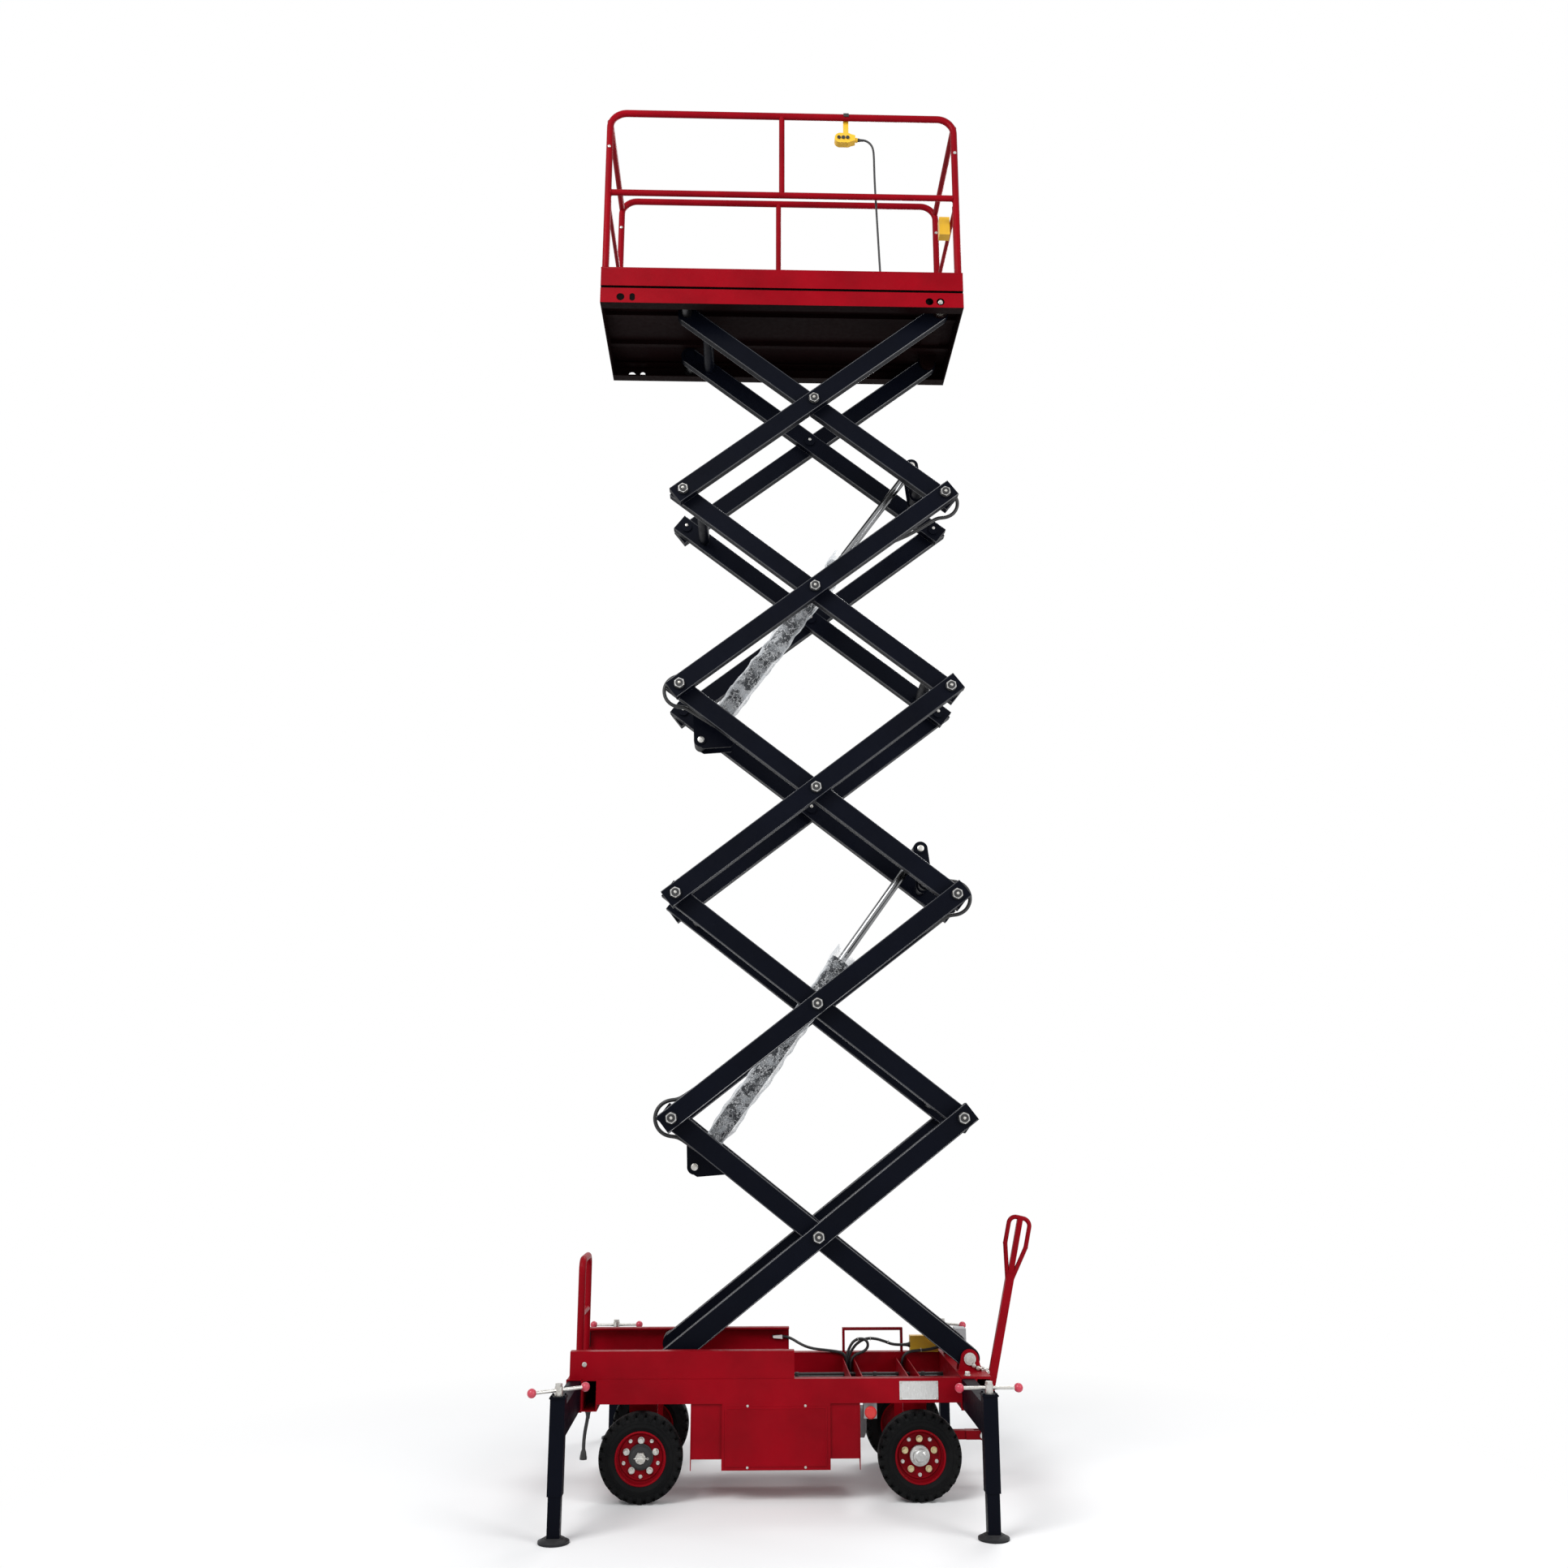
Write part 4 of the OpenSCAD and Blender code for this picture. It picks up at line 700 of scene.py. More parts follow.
def paint_base():
    paint("base_frame", RED, (ZINC, pin_faces(PIVOT_Z, 0.2603, 0.30)))
    paint_alike(RED, "push_hoop", "cabinet_shell", "cabinet_door", "front_axle", "drawbar")
    paint("roller_tracks", RED, (STEEL, lambda c: abs(c.y) < 0.389 and 0.5325 < c.z < 0.6372))
    paint("rear_axle", RED, (STEEL, lambda c: abs(c.y) > 0.3))
    yoke = at(965, 0, 0).x
    paint("drawbar_yoke", RED, (STEEL, lambda c: c.z > 0.2265 or (c.x > yoke and abs(c.y) > 0.0254)))
    paint_alike(STEEL, "knuckle_near", "knuckle_far", "tie_rod", "base_rollers")
    paint("power_unit", GREY)


def paint_wheels():
    for end, x in AXLES.items():
        for side, s in SIDES.items():
            centre = at(x, s * WHEEL_Y, AXLE_Z)

            def within(radius, m=centre):
                return lambda c: math.hypot(c.x - m.x, c.z - m.z) < radius

            hub = BLACK if end == "rear" else STEEL
            paint("%s_wheel_%s" % (end, side), TYRE, (RED, within(RIM_RADIUS)), (hub, within(HUB_RADIUS)))


def paint_outriggers():
    for k in range(1, len(LEGS) + 1):
        foot = NODES["outrigger_foot_%d" % k].data
        middle = sum((v.co for v in foot.vertices), Vector()) / len(foot.vertices)
        paint("outrigger_beam_%d" % k, NAVY)
        paint("outrigger_foot_%d" % k, NAVY, (DARK, lambda c: c.z < 0.0081))
        paint("jack_handle_%d" % k, ZINC,
            (BALL_RED, lambda c, m=middle: math.hypot(c.x - m.x, c.y - m.y) > BALL_REACH))


CYLINDER_WAY = Vector((0.5843593, 0, 0.8114951))
CYLINDER_ACROSS = Vector((CYLINDER_WAY.z, 0, -CYLINDER_WAY.x))
CYLINDER_REACH = 1.99387


def cylinder_foot(stage):
    """The lower eye of a cylinder on the inner frame of a stage."""
    return arm_spot(stage, -1, 230, 0, -120)


def rod_eye(stage):
    """The upper eye of the cylinder that stands on a stage."""
    return cylinder_foot(stage) + CYLINDER_WAY * CYLINDER_REACH


def paint_scissors():
    for k in range(1, STAGES + 1):
        # Painted shade: the top stage's axle ends, under the deck, are darker steel than the same ends below
        ends = SHADE_STEEL if k == STAGES else STEEL
        paint("inner_frame_%d" % k, NAVY, (ends, lambda c: abs(c.y) > 0.2465))
        # Painted shade: the washers and the pin ends round each pivot nut are dark steel
        paint("outer_arms_%d" % k, NAVY, (STEEL, lambda c: abs(c.y) > 0.30201),
            (SHADE_STEEL, lambda c: 0.30201 < abs(c.y) < 0.3082 or 0.3225 < abs(c.y) < 0.3265))
    for level, stage in CYLINDERS.items():
        paint("cylinder_barrel_" + level, NAVY)
        paint("cylinder_rod_" + level, CHROME, (NAVY, lambda c, e=rod_eye(stage): (c - e).length < EYE_REACH))


def paint_platform():
    pins = pin_faces(TOP_Z, 0.3149, 0.345)
    left, right = at(-1004, 0, 0).x, at(1004, 0, 0).x

    # Painted shade: the faces inside the deck frame, under the deck, take the near-black red
    def shaded_underside(c):
        return abs(c.y) < 0.4144 and left < c.x < right and not pins(c)

    paint("deck_frame", RED, (UNDERSIDE_SHADE, shaded_underside), (ZINC, pins))
    # Painted shade: the underside of the deck plate is near-black red as well
    paint("deck_plate", RED, (CHEQUER, lambda c: c.z > at(0, 0, DECK_TOP - 1).z and abs(c.y) < 0.41),
        (UNDERSIDE_SHADE, lambda c: c.z < at(0, 0, DECK_TOP - 4.5).z))
    paint_alike(RED, "guard_rails", "entry_gate")
    # Painted shade: the platform rollers under the deck are darker steel than the rollers in the base
    paint("platform_rollers", SHADE_STEEL)


def paint_controls():
    paint("base_pendant", YELLOW, (BUTTON_RED, lambda c: c.z > 0.6031))
    paint("switch_boxes", GREY_BOX)
    paint("stop_button", BUTTON_RED)
    low, high = at(710, 0, DECK_TOP), at(770, 0, DECK_TOP + 45)
    paint("handset", YELLOW, (BLACK, lambda c: c.y < -0.3741 or low.x < c.x < high.x and c.z < high.z))
    paint_alike(RUBBER, "handset_cable", "power_lead", "base_cables")
    paint_alike(RUBBER, *("joint_hose_%d" % k for k in range(1, STAGES)))


paint_base()
paint_wheels()
paint_outriggers()
paint_scissors()
paint_platform()
paint_controls()


# Cables and hoses
LEAD_Y = -372
LEAD_ROUTE = [(-885, 390), (-885, 375), (-887, 355), (-891, 330), (-896, 300), (-899, 270), (-900, 245),
    (-900, 225)]
HANDSET_Y = -352
HANDSET_ROUTE = [(434, 7165), (455, 7166), (477, 7163), (499, 7150), (515, 7128), (523, 7100), (526, 7060),
    (527, 7000), (528, 6920), (530, 6840), (533, 6760), (536, 6680), (539, 6600), (542, 6520), (545, 6440),
    (548, 6360), (552, 6290), (560, 6235), (577, 6196), (605, 6174), (640, 6167), (680, 6167), (714, 6167)]
BASE_ROUTES = {
    "pendant_cord": [(357, 325, 425.5), (357, 325, 470), (362, 325, 510), (380, 325, 545), (410, 325, 575),
        (450, 325, 592), (495, 325, 592), (540, 328, 580), (580, 333, 566), (615, 341, 561), (650, 349, 560),
        (660, 350, 560), (674, 350, 560)],
    "looped_cord": [(345, 300, 425.5), (345, 300, 480), (350, 300, 520), (365, 300, 560), (390, 300, 588),
        (420, 300, 596), (445, 300, 588), (455, 300, 566), (443, 300, 543), (415, 300, 529), (387, 300, 516),
        (371, 300, 494), (366, 300, 460), (366, 300, 425.5)],
    "box_cord": [(629, 335, 425.5), (630, 335, 470), (640, 335, 505), (668, 335, 526), (710, 335, 533),
        (755, 335, 537), (800, 335, 545), (835, 335, 556), (865, 335, 567), (885, 335, 571), (904, 335, 571)],
    "track_cord": [(-30, 382.5, 598), (20, 382.5, 598), (48, 381, 594), (76, 372, 584), (104, 358, 570),
        (134, 346, 557), (168, 341, 547), (204, 340, 541), (240, 340, 537), (274, 340, 533), (302, 340, 529),
        (323, 340, 523), (338, 340, 512), (345, 340, 496), (347, 340, 475), (347, 340, 425.5)]}
TIES = (((470, 325, 592.5), (1, 0, 0)), ((560, 331, 573), (1, 0, -0.4)), ((405, 300, 593), (1, 0, 0.2)),
    ((730, 335, 535), (1, 0, 0.1)))


def make_cord(name, points, diameter, body, node_name):
    cord = tube_curve(name, points, diameter)
    cord.data.materials.append(RUBBER)
    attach(cord, body)
    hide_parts(node_name)


def make_plug():
    """The moulded plug on the mains lead: a grip with ribs, a face and pins."""
    low = at(-900, LEAD_Y, 185)
    grip = drum("mains_plug", low, low + UP * 0.04, 0.017, 24, 0.0095)
    stepped(grip, -UP, [(0.002, UP * 0.003)], 0.0012)
    parts = [grip]
    for k in range(4):
        parts.append(ring("plug_rib", low + UP * (0.010 + k * 0.007), UP, 0.0162 - k * 0.0013, 0.0011, 24, 6))
    for x, y in ((-0.006, 0.003), (0.006, 0.003), (0, -0.006)):
        foot = low + Vector((x, y, 0))
        pin = block("plug_pin", foot + Vector((-0.002, -0.001, 0.0004)), foot + Vector((0.002, 0.001, 0.006)))
        parts.append(soften(pin, 0.0005))
    return fit(joined("mains_plug", parts), "chassis", RUBBER)


def gland(name, seat, out, radius, body):
    """A screwed cable gland: hex foot, domed nut and a tapered sleeve."""
    foot = drum(name, seat - out * 0.0004, seat + out * 0.007, radius * 1.9, 6)
    soften(foot, 0.0008)
    dome = drum(name, seat + out * 0.006, seat + out * 0.018, radius * 1.6, 20, radius * 1.25)
    soften(dome, 0.0008)
    sleeve = drum(name, seat + out * 0.017, seat + out * 0.034, radius * 1.25, 20, radius * 1.06)
    fit(joined(name, [foot, dome, sleeve]), body, BLACK)


def cable_tie(name, centre, along, radius, body):
    """A nylon tie: a thin band and its lock."""
    band = ring(name, centre, along, radius + 0.0008, 0.0012, 24, 6)
    heart = centre + along.cross(AWAY).normalized() * (radius + 0.001)
    half = Vector((0.0025, 0.0025, 0.0025))
    lock = soften(block(name, heart - half, heart + half), 0.0006)
    fit(joined(name, [band, lock]), body, WHITE_TIE)


def make_cables():
    plug = make_plug()
    lead = [at(x, LEAD_Y, z) for x, z in LEAD_ROUTE]
    make_cord("mains_lead", lead, 0.016, "chassis", "power_lead")
    gland("lead_gland", lead[0], -UP, 0.008, "chassis")
    cord = [at(x, HANDSET_Y, z) for x, z in HANDSET_ROUTE]
    make_cord("handset_cord", cord, 0.012, "platform", "handset_cable")
    gland("handset_gland", cord[0], RIGHT, 0.006, "platform")
    for name, route in BASE_ROUTES.items():
        make_cord(name, [at(*place) for place in route], 0.014, "chassis", "base_cables")
    tag = block("cable_tag", at(-26, 374.2, 586), at(22, 375.6, 606))
    pick(tag, facing(-RIGHT))
    resize((1, 1, 0.6), at(-26, 375, 596))
    done()
    fit(soften(tag, 0.0004, 1), "chassis", WHITE_TIE)
    gland("pendant_gland", at(675, 350, 560), -RIGHT, 0.007, "chassis")
    gland("box_gland", at(905, 335, 571), -RIGHT, 0.007, "chassis")
    for k, (place, along) in enumerate(TIES):
        cable_tie("cable_tie_%d" % k, at(*place), Vector(along).normalized(), 0.007, "chassis")


HOSE_Y = -168
HOSE_LOOP = 86
HOSE_START = 440
HOSE_END = 480
HOSE_STEPS = 40


def hose_route(x, z, side):
    """Along the lower arm, round the outside of the pivot and along the upper arm."""
    points = []
    for k in range(-1, HOSE_STEPS + 2):
        t = min(max(k / HOSE_STEPS, 0), 1)
        turn = ARM_RISE + t * (2 * math.pi - 2 * ARM_RISE)
        reach = HOSE_END
        if 0 <= k <= HOSE_STEPS:
            reach = HOSE_LOOP + (HOSE_START - HOSE_LOOP) * abs(2 * t - 1) ** 12
        points.append(at(x + side * reach * math.cos(turn), HOSE_Y, z - reach * math.sin(turn)))
    return points


def make_hose(level):
    """The hose past the end pivots of a level: on the right where the level is even."""
    right = level % 2 == 0
    x = RIGHT_PIVOT_X if right else LEFT_PIVOT_X
    z = PIVOT_Z + level * STAGE_RISE
    points = hose_route(x, z, -1 if right else 1)
    hose = tube_curve("oil_hose_%d" % level, points, 0.020, 3)
    take(hose)
    bpy.ops.object.convert(target="MESH")
    parts = [bpy.context.object]
    for end, inner in ((points[0], points[1]), (points[-1], points[-2])):
        along = (inner - end).normalized()
        crimp = drum("hose_crimp", end, end + along * 0.045, 0.0135, 20)
        pick(crimp, lambda c, n, a=along: abs(n.dot(a)) < 0.3)
        bpy.ops.mesh.subdivide(number_cuts=3)
        done()
        parts.append(soften(crimp, 0.0015, 2, 40))
    piece = joined("oil_hose_%d" % level, parts)
    finish_surface(piece, RUBBER, 40)
    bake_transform(piece)
    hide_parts("joint_hose_%d" % level)


make_cables()
for level in range(1, STAGES):
    make_hose(level)


# Wheels
TREAD_LUGS = 26


def tread_lugs(centre, s):
    """Blocks on both shoulders of a tyre, out of step, and the ribs of its outer wall."""
    parts = []
    for face in (s, -s):
        corner = centre + Vector((-0.0125, face * 0.023, 0.160))
        lug = block("tread_lug", corner, centre + Vector((0.0125, face * 0.0535, 0.1903)))
        pick(lug, facing(AWAY * face))
        resize((0.85, 1, 0.84), centre + UP * 0.158)
        done()
        soften(lug, 0.003)
        around(lug, centre, AWAY, TREAD_LUGS)
        if face != s:
            take(lug)
            bpy.ops.transform.rotate(value=math.pi / TREAD_LUGS, orient_axis="Y", center_override=centre)
            settle_place(lug, "tread_lug")
        parts.append(lug)
    for radius in (0.150, 0.138):
        parts.append(ring("wall_rib", centre + AWAY * s * 0.0525, AWAY, radius, 0.0022, 72, 6))
    return parts


def rim_lip(centre, out):
    """The rolled edge of the pressed rim and its stiffening swage."""
    lip = ring("rim_lip", centre + out * 0.043, AWAY, 0.112, 0.0045, 64, 8)
    swage = ring("rim_swage", centre + out * 0.0035, AWAY, 0.095, 0.0055, 64, 8)
    return [lip, swage]


def hub_cover(centre, out):
    """A bare disc with a pressed cap, held by three bolts."""
    disc = drum("hub_disc", centre + out * 0.0148, centre + out * 0.020, 0.044, 40)
    soften(disc, 0.0015)
    cap = drum("hub_cap", centre + out * 0.019, centre + out * 0.036, 0.0315, 32)
    pick(cap, facing(out))
    bpy.ops.mesh.inset(thickness=0.006)
    pull(out * 0.004)
    resize((0.8, 1, 0.8), centre + out * 0.040)
    done()
    soften(cap, 0.002)
    bolt = hex_bolt("hub_bolt", centre + out * 0.020 + UP * 0.0375, out, 0.009, 0.006)
    return [disc, cap, around(bolt, centre, AWAY, 3)]


def castle_nut(centre, out):
    """The slotted crown of the axle nut, with its split pin."""
    crown = drum("nut_crown", centre + out * 0.0305, centre + out * 0.0385, 0.0235, 24)
    soften(crown, 0.001)
    corner = centre + out * 0.038 + Vector((-0.006, 0, 0.016))
    tooth = block("crown_tooth", corner, centre + out * 0.044 + Vector((0.006, 0, 0.0225)))
    soften(tooth, 0.0008)
    around(tooth, centre, AWAY, 6)
    middle = centre + out * 0.041
    pin = drum("split_pin", middle - RIGHT * 0.030, middle + RIGHT * 0.030, 0.0016, 10)
    eye = ring("split_pin_eye", middle + RIGHT * 0.033, AWAY, 0.004, 0.0015, 16, 8)
    return [crown, tooth, pin, eye]


def hub_flange(centre, out):
    """The dark flange that the rim is bolted to, stepped down to the bearing cap."""
    disc = drum("hub_flange", centre - out * 0.010, centre + out * 0.0045, 0.056, 48)
    return stepped(disc, out, [(0.007, out * 0.004), (0.008, out * 0.006)], 0.0012)


RIM_BOLTS = 5


def dress_wheel(end, side, centre, out):
    tag = "%s_%s" % (end, side)
    body = "%s_wheel_%s" % (end, side)
    fit(joined("tread_" + tag, tread_lugs(centre, out.y)), body, TYRE)
    fit(joined("rim_lip_" + tag, rim_lip(centre, out)), body, RED)
    bolt = hex_bolt("rim_bolt", centre + out * 0.0015 + UP * 0.070, out, 0.021, 0.016)
    around(bolt, centre, AWAY, RIM_BOLTS)
    fasten("rim_bolts_" + tag, [bolt], body, YELLOW_ZINC if end == "front" else ZINC)
    turn = math.pi / RIM_BOLTS
    spot = centre + Vector((0.082 * math.sin(turn), 0, 0.082 * math.cos(turn)))
    stud = hex_bolt("rim_stud", spot + out * 0.002, out, 0.012, 0.010)
    around(stud, centre, AWAY, RIM_BOLTS)
    fasten("rim_studs_" + tag, [stud], body)
    if end == "front":
        fasten("hub_cover_" + tag, hub_cover(centre, out), body, STEEL)
    else:
        fit(joined("hub_flange_" + tag, [hub_flange(centre, out)]), body, BLACK)
        fasten("castle_nut_" + tag, castle_nut(centre, out), "chassis")


for end, x in AXLES.items():
    for side, s in SIDES.items():
        dress_wheel(end, side, at(x, s * WHEEL_Y, AXLE_Z), AWAY * s)


# Film round the barrels, placed by metres along a cylinder from its foot
FILM_START = 0.135
FILM_END = 1.312
FILM_TIED = 0.19
FILM_FLARED = 1.22
FILM_RAGGED = 1.285
FILM_STEPS = 98
FILM_TIGHT = 0.0464
FILM_CRUMPLES = (("film_folds", 0.10, 0.018), ("film_wrinkles", 0.034, 0.008),
    ("film_creases", 0.014, 0.0022))


def film_slack(far):
    """0 where the film is tied down, and 1 where it hangs loose."""
    return min(max((far - FILM_TIED) / 0.06, 0.0), 1.0)


def film_radius(far):
    gather = 0.0022 * math.sin(far * 61) + 0.0018 * math.sin(far * 23 + 1.3)
    flare = 0.004 if far > FILM_FLARED else 0.0
    return FILM_TIGHT + film_slack(far) * (0.0095 + gather + flare)


def film_lean(far):
    """How far the film hangs to one side."""
    return film_slack(far) * (0.0045 + 0.0035 * math.sin(far * 13))


def film_sleeve(level, stage):
    """Bubble film round a barrel: tied tight between the ears, crumpled, and ragged past the gland."""
    along, aside, foot = CYLINDER_WAY, CYLINDER_ACROSS, cylinder_foot(stage)
    stride = (FILM_END - FILM_START) / FILM_STEPS
    deselect()
    turn = along.to_track_quat("Z", "Y").to_euler()
    bpy.ops.mesh.primitive_circle_add(vertices=72, radius=FILM_TIGHT, location=foot + along * FILM_START,
        rotation=turn)
    sleeve = settle_place(bpy.context.object, "film_sleeve_" + level)
    bpy.ops.object.mode_set(mode="EDIT")
    bpy.ops.mesh.select_mode(type="VERT")
    bpy.ops.mesh.select_all(action="SELECT")
    before = 0.0
    for k in range(1, FILM_STEPS + 1):
        far = FILM_START + k * stride
        lean = film_lean(far)
        pull(along * stride + aside * (lean - before))
        grow = film_radius(far) / film_radius(far - stride)
        resize((grow, grow, grow), foot + along * far + aside * lean)
        before = lean
    bpy.ops.mesh.select_all(action="SELECT")
    bpy.ops.mesh.normals_make_consistent(inside=False)
    done()
    slack = sleeve.vertex_groups.new(name="slack")
    for corner in sleeve.data.vertices:
        far = (corner.co - foot).dot(along)
        slack.add([corner.index], film_slack(far), "REPLACE")
        if far > FILM_RAGGED:
            side = -(corner.co - foot).dot(aside) / FILM_TIGHT
            rag = 0.7 * max(side, 0.0) + 0.175 * math.sin(corner.index * 1.7)
            corner.co += along * (far - FILM_RAGGED) * rag
    for label, size, strength in FILM_CRUMPLES:
        rumple(sleeve, label, size, strength, 0.45, slack.name)
    apply_modifiers(sleeve)
    fit(sleeve, "cylinder_barrel_" + level, FILM, smooth=60)


for level, stage in CYLINDERS.items():
    film_sleeve(level, stage)


# Fittings on the base
def chain(name, points, body, thick, link):
    """Links along a row of points, each turned a quarter from the last."""
    bend = link * 0.62
    links = []
    for k, (a, b) in enumerate(zip(points, points[1:])):
        along = b - a
        deselect()
        bpy.ops.mesh.primitive_torus_add(major_radius=bend, minor_radius=thick, major_segments=20,
            minor_segments=8)
        loop = bpy.context.object
        loop.scale = (1.0, (along.length * 0.5 + thick * 1.9) / (bend + thick), 1.0)
        settle_place(loop, name)
        quarter = Matrix.Rotation(math.pi / 2 * (k % 2), 4, "Y")
        turn = along.to_track_quat("Y", "Z").to_matrix().to_4x4() @ quarter
        loop.matrix_world = Matrix.Translation((a + b) / 2) @ turn
        links.append(settle_place(loop, name))
    fit(joined(name, links), body, ZINC, smooth=60)


def hanging_row(a, b, sag, count):
    shares = [k / count for k in range(count + 1)]
    return [a.lerp(b, t) - UP * (sag * 4 * t * (1 - t)) for t in shares]


def make_rating_plate():
    """A bare metal plate on four rivets."""
    plate = block("rating_plate", at(538, -401.6, 434), at(716, -399.9, 513))
    stepped(plate, NEAR, [(0.004, AWAY * 0.0006)], 0.0004, 1)
    fit(plate, "chassis", PLATE)
    rivets = []
    for x in (546, 708):
        for z in (441, 506):
            rivets.append(round_head("plate_rivet", at(x, -401.4, z), NEAR, 0.0045, 0.003))
    fasten("plate_rivets", rivets, "chassis")


def make_track_fittings():
    """A bolt through the near track, and a rubber pad at the end of each."""
    fasten("track_bolts", [hex_bolt("track_bolt", at(-906, -396, 590), NEAR, 0.015, 0.009)], "chassis")
    pad = block("track_bumper", at(-966, 352, 548), at(-962.6, 392, 622))
    stepped(pad, RIGHT, [(0.006, RIGHT * 0.0014)], 0.0006)
    fit(joined("track_bumpers", [pad, mirrored(pad)]), "chassis", RUBBER)


def make_stay_chain():
    """A chain from the front ear, with an open hook at its end."""
    seats = (at(905, -261.2, 556), at(925, -261.2, 545))
    fasten("ear_bolts", [round_head("ear_bolt", seat, NEAR, 0.011, 0.010) for seat in seats], "chassis")
    row = hanging_row(at(929, -268, 546), at(964, -262, 541), 0.0, 3)
    row += [at(970, -261, 532 - 11.5 * k) for k in range(11)]
    chain("stay_chain", row, "chassis", 0.0026, 0.011)
    hook = ring("chain_hook", at(970, -261, 406), AWAY, 0.010, 0.0030, 24, 8)
    mouth = at(970, -261, 411)
    pick(hook, lambda c, n: c.x > mouth.x and abs(c.z - mouth.z) < 0.004)
    bpy.ops.mesh.delete(type="FACE")
    bpy.ops.mesh.select_mode(type="EDGE")
    bpy.ops.mesh.select_all(action="SELECT")
    bpy.ops.mesh.region_to_loop()
    bpy.ops.mesh.fill()
    done()
    fit(hook, "chassis", ZINC, smooth=60)


make_rating_plate()
make_track_fittings()
make_stay_chain()


# Cabinet and motor
CABINET_FACE = -390


def make_cabinet():
    """The folded edges of the cabinet, and its door's raised panel and screws."""
    folds = []
    for x in (CABINET_LEFT + 3, CABINET_RIGHT - 3):
        fold = block("cabinet_edge", at(x - 3, CABINET_FACE - 3, 186), at(x + 3, CABINET_FACE + 0.4, 419))
        folds.append(soften(fold, 0.0012))
    fit(joined("cabinet_folds", folds), "chassis", RED)
    panel = block("door_fold", at(-261, CABINET_FACE - 12.4, 154), at(206, CABINET_FACE - 9.6, 406))
    stepped(panel, NEAR, [(0.008, AWAY * 0.0014)], 0.0008)
    fit(panel, "chassis", RED)
    screws = []
    for x in (-158, 106):
        for z in (152, 410):
            screws.append(round_head("door_screw", at(x, CABINET_FACE - 10, z), NEAR, 0.006, 0.004))
    fasten("door_screws", screws, "chassis")


def make_motor_cowl():
    """The stepped end cover of the motor, with ribs round its face."""
    middle = at(402, -100, 285)
    cowl = drum("motor_cowl", middle - RIGHT * 0.041, middle - RIGHT * 0.004, 0.0712, 48)
    stepped(cowl, RIGHT, [(0.016, RIGHT * 0.006), (0.026, RIGHT * 0.004)], 0.002)
    rib = block("cowl_rib", middle + Vector((-0.001, -0.003, 0.018)), middle + Vector((0.0045, 0.003, 0.050)))
    soften(rib, 0.0012)
    around(rib, middle, RIGHT, 14)
    fit(joined("motor_cowl", [cowl, rib]), "chassis", GREY)


def make_stop_collar():
    """The flat yellow collar behind the stop button."""
    seat = at(405, -378.6, 378)
    collar = ring("stop_collar", seat, AWAY, 0.019, 0.0068, 40, 8)
    resize((1, 0.12, 1), seat)
    settle_place(collar, "stop_collar")
    fit(collar, "chassis", YELLOW)


make_cabinet()
make_motor_cowl()
make_stop_collar()


# Scissor pack
TUBE_FROM_LEFT = (130, 130, 130, 130, 150)
TUBE_FROM_RIGHT = (150, 130, 160, 130, 160)


def make_welds():
    """Beads where the cross tubes meet the inner arms."""
    for i in range(1, STAGES + 1):
        beads = []
        for far in (TUBE_FROM_LEFT[i - 1], ARM_LENGTH - TUBE_FROM_RIGHT[i - 1]):
            for s in SIDES.values():
                beads.append(weld_bead("tube_weld", arm_spot(i, -1, far, s * 193.4), AWAY, 0.0310))
        fit(joined("tube_welds_%d" % i, beads), "inner_frame_%d" % i, NAVY, smooth=60)


def make_pivot_bolts():
    """The lock bolt in the end of each pivot pin, and the keeper bolt inside its arm."""
    for i in range(1, STAGES + 1):
        z = PIVOT_Z + (i - 1) * STAGE_RISE
        spots = [(LEFT_PIVOT_X + ARM_RUN / 2, z + STAGE_RISE / 2)]
        if i > 1:
            spots.append((LEFT_PIVOT_X, z))
        if i < STAGES:
            spots.append((RIGHT_PIVOT_X, z + STAGE_RISE))
        places = [(x, z, s) for x, z in spots for s in SIDES.values()]
        bolts = [hex_bolt("pivot_bolt", at(x, s * 326.0, z), AWAY * s, 0.010, 0.006) for x, z, s in places]
        for x, z, s in places:
            bolts.append(round_head("keeper_bolt", at(x, s * 182.3, z + 9), AWAY * -s, 0.009, 0.006))
        fasten("pivot_bolts_%d" % i, bolts, "outer_arms_%d" % i)


def make_cylinder_heads():
    """The ends of the cylinders' pins, outside their ears."""
    for stage in CYLINDERS.values():
        ends = (("foot", cylinder_foot(stage), stage), ("rod", rod_eye(stage), stage + 2))
        for tag, place, holder in ends:
            heads = []
            for s in SIDES.values():
                heads.append(round_head("cylinder_pin", place + AWAY * s * 0.064, AWAY * s, 0.0175, 0.006))
            fasten("cylinder_%s_pins_%d" % (tag, stage), heads, "inner_frame_%d" % holder)


ARM_HALF = 50
ARM_OVERHANG = 55
EDGE_INSET = 2.0


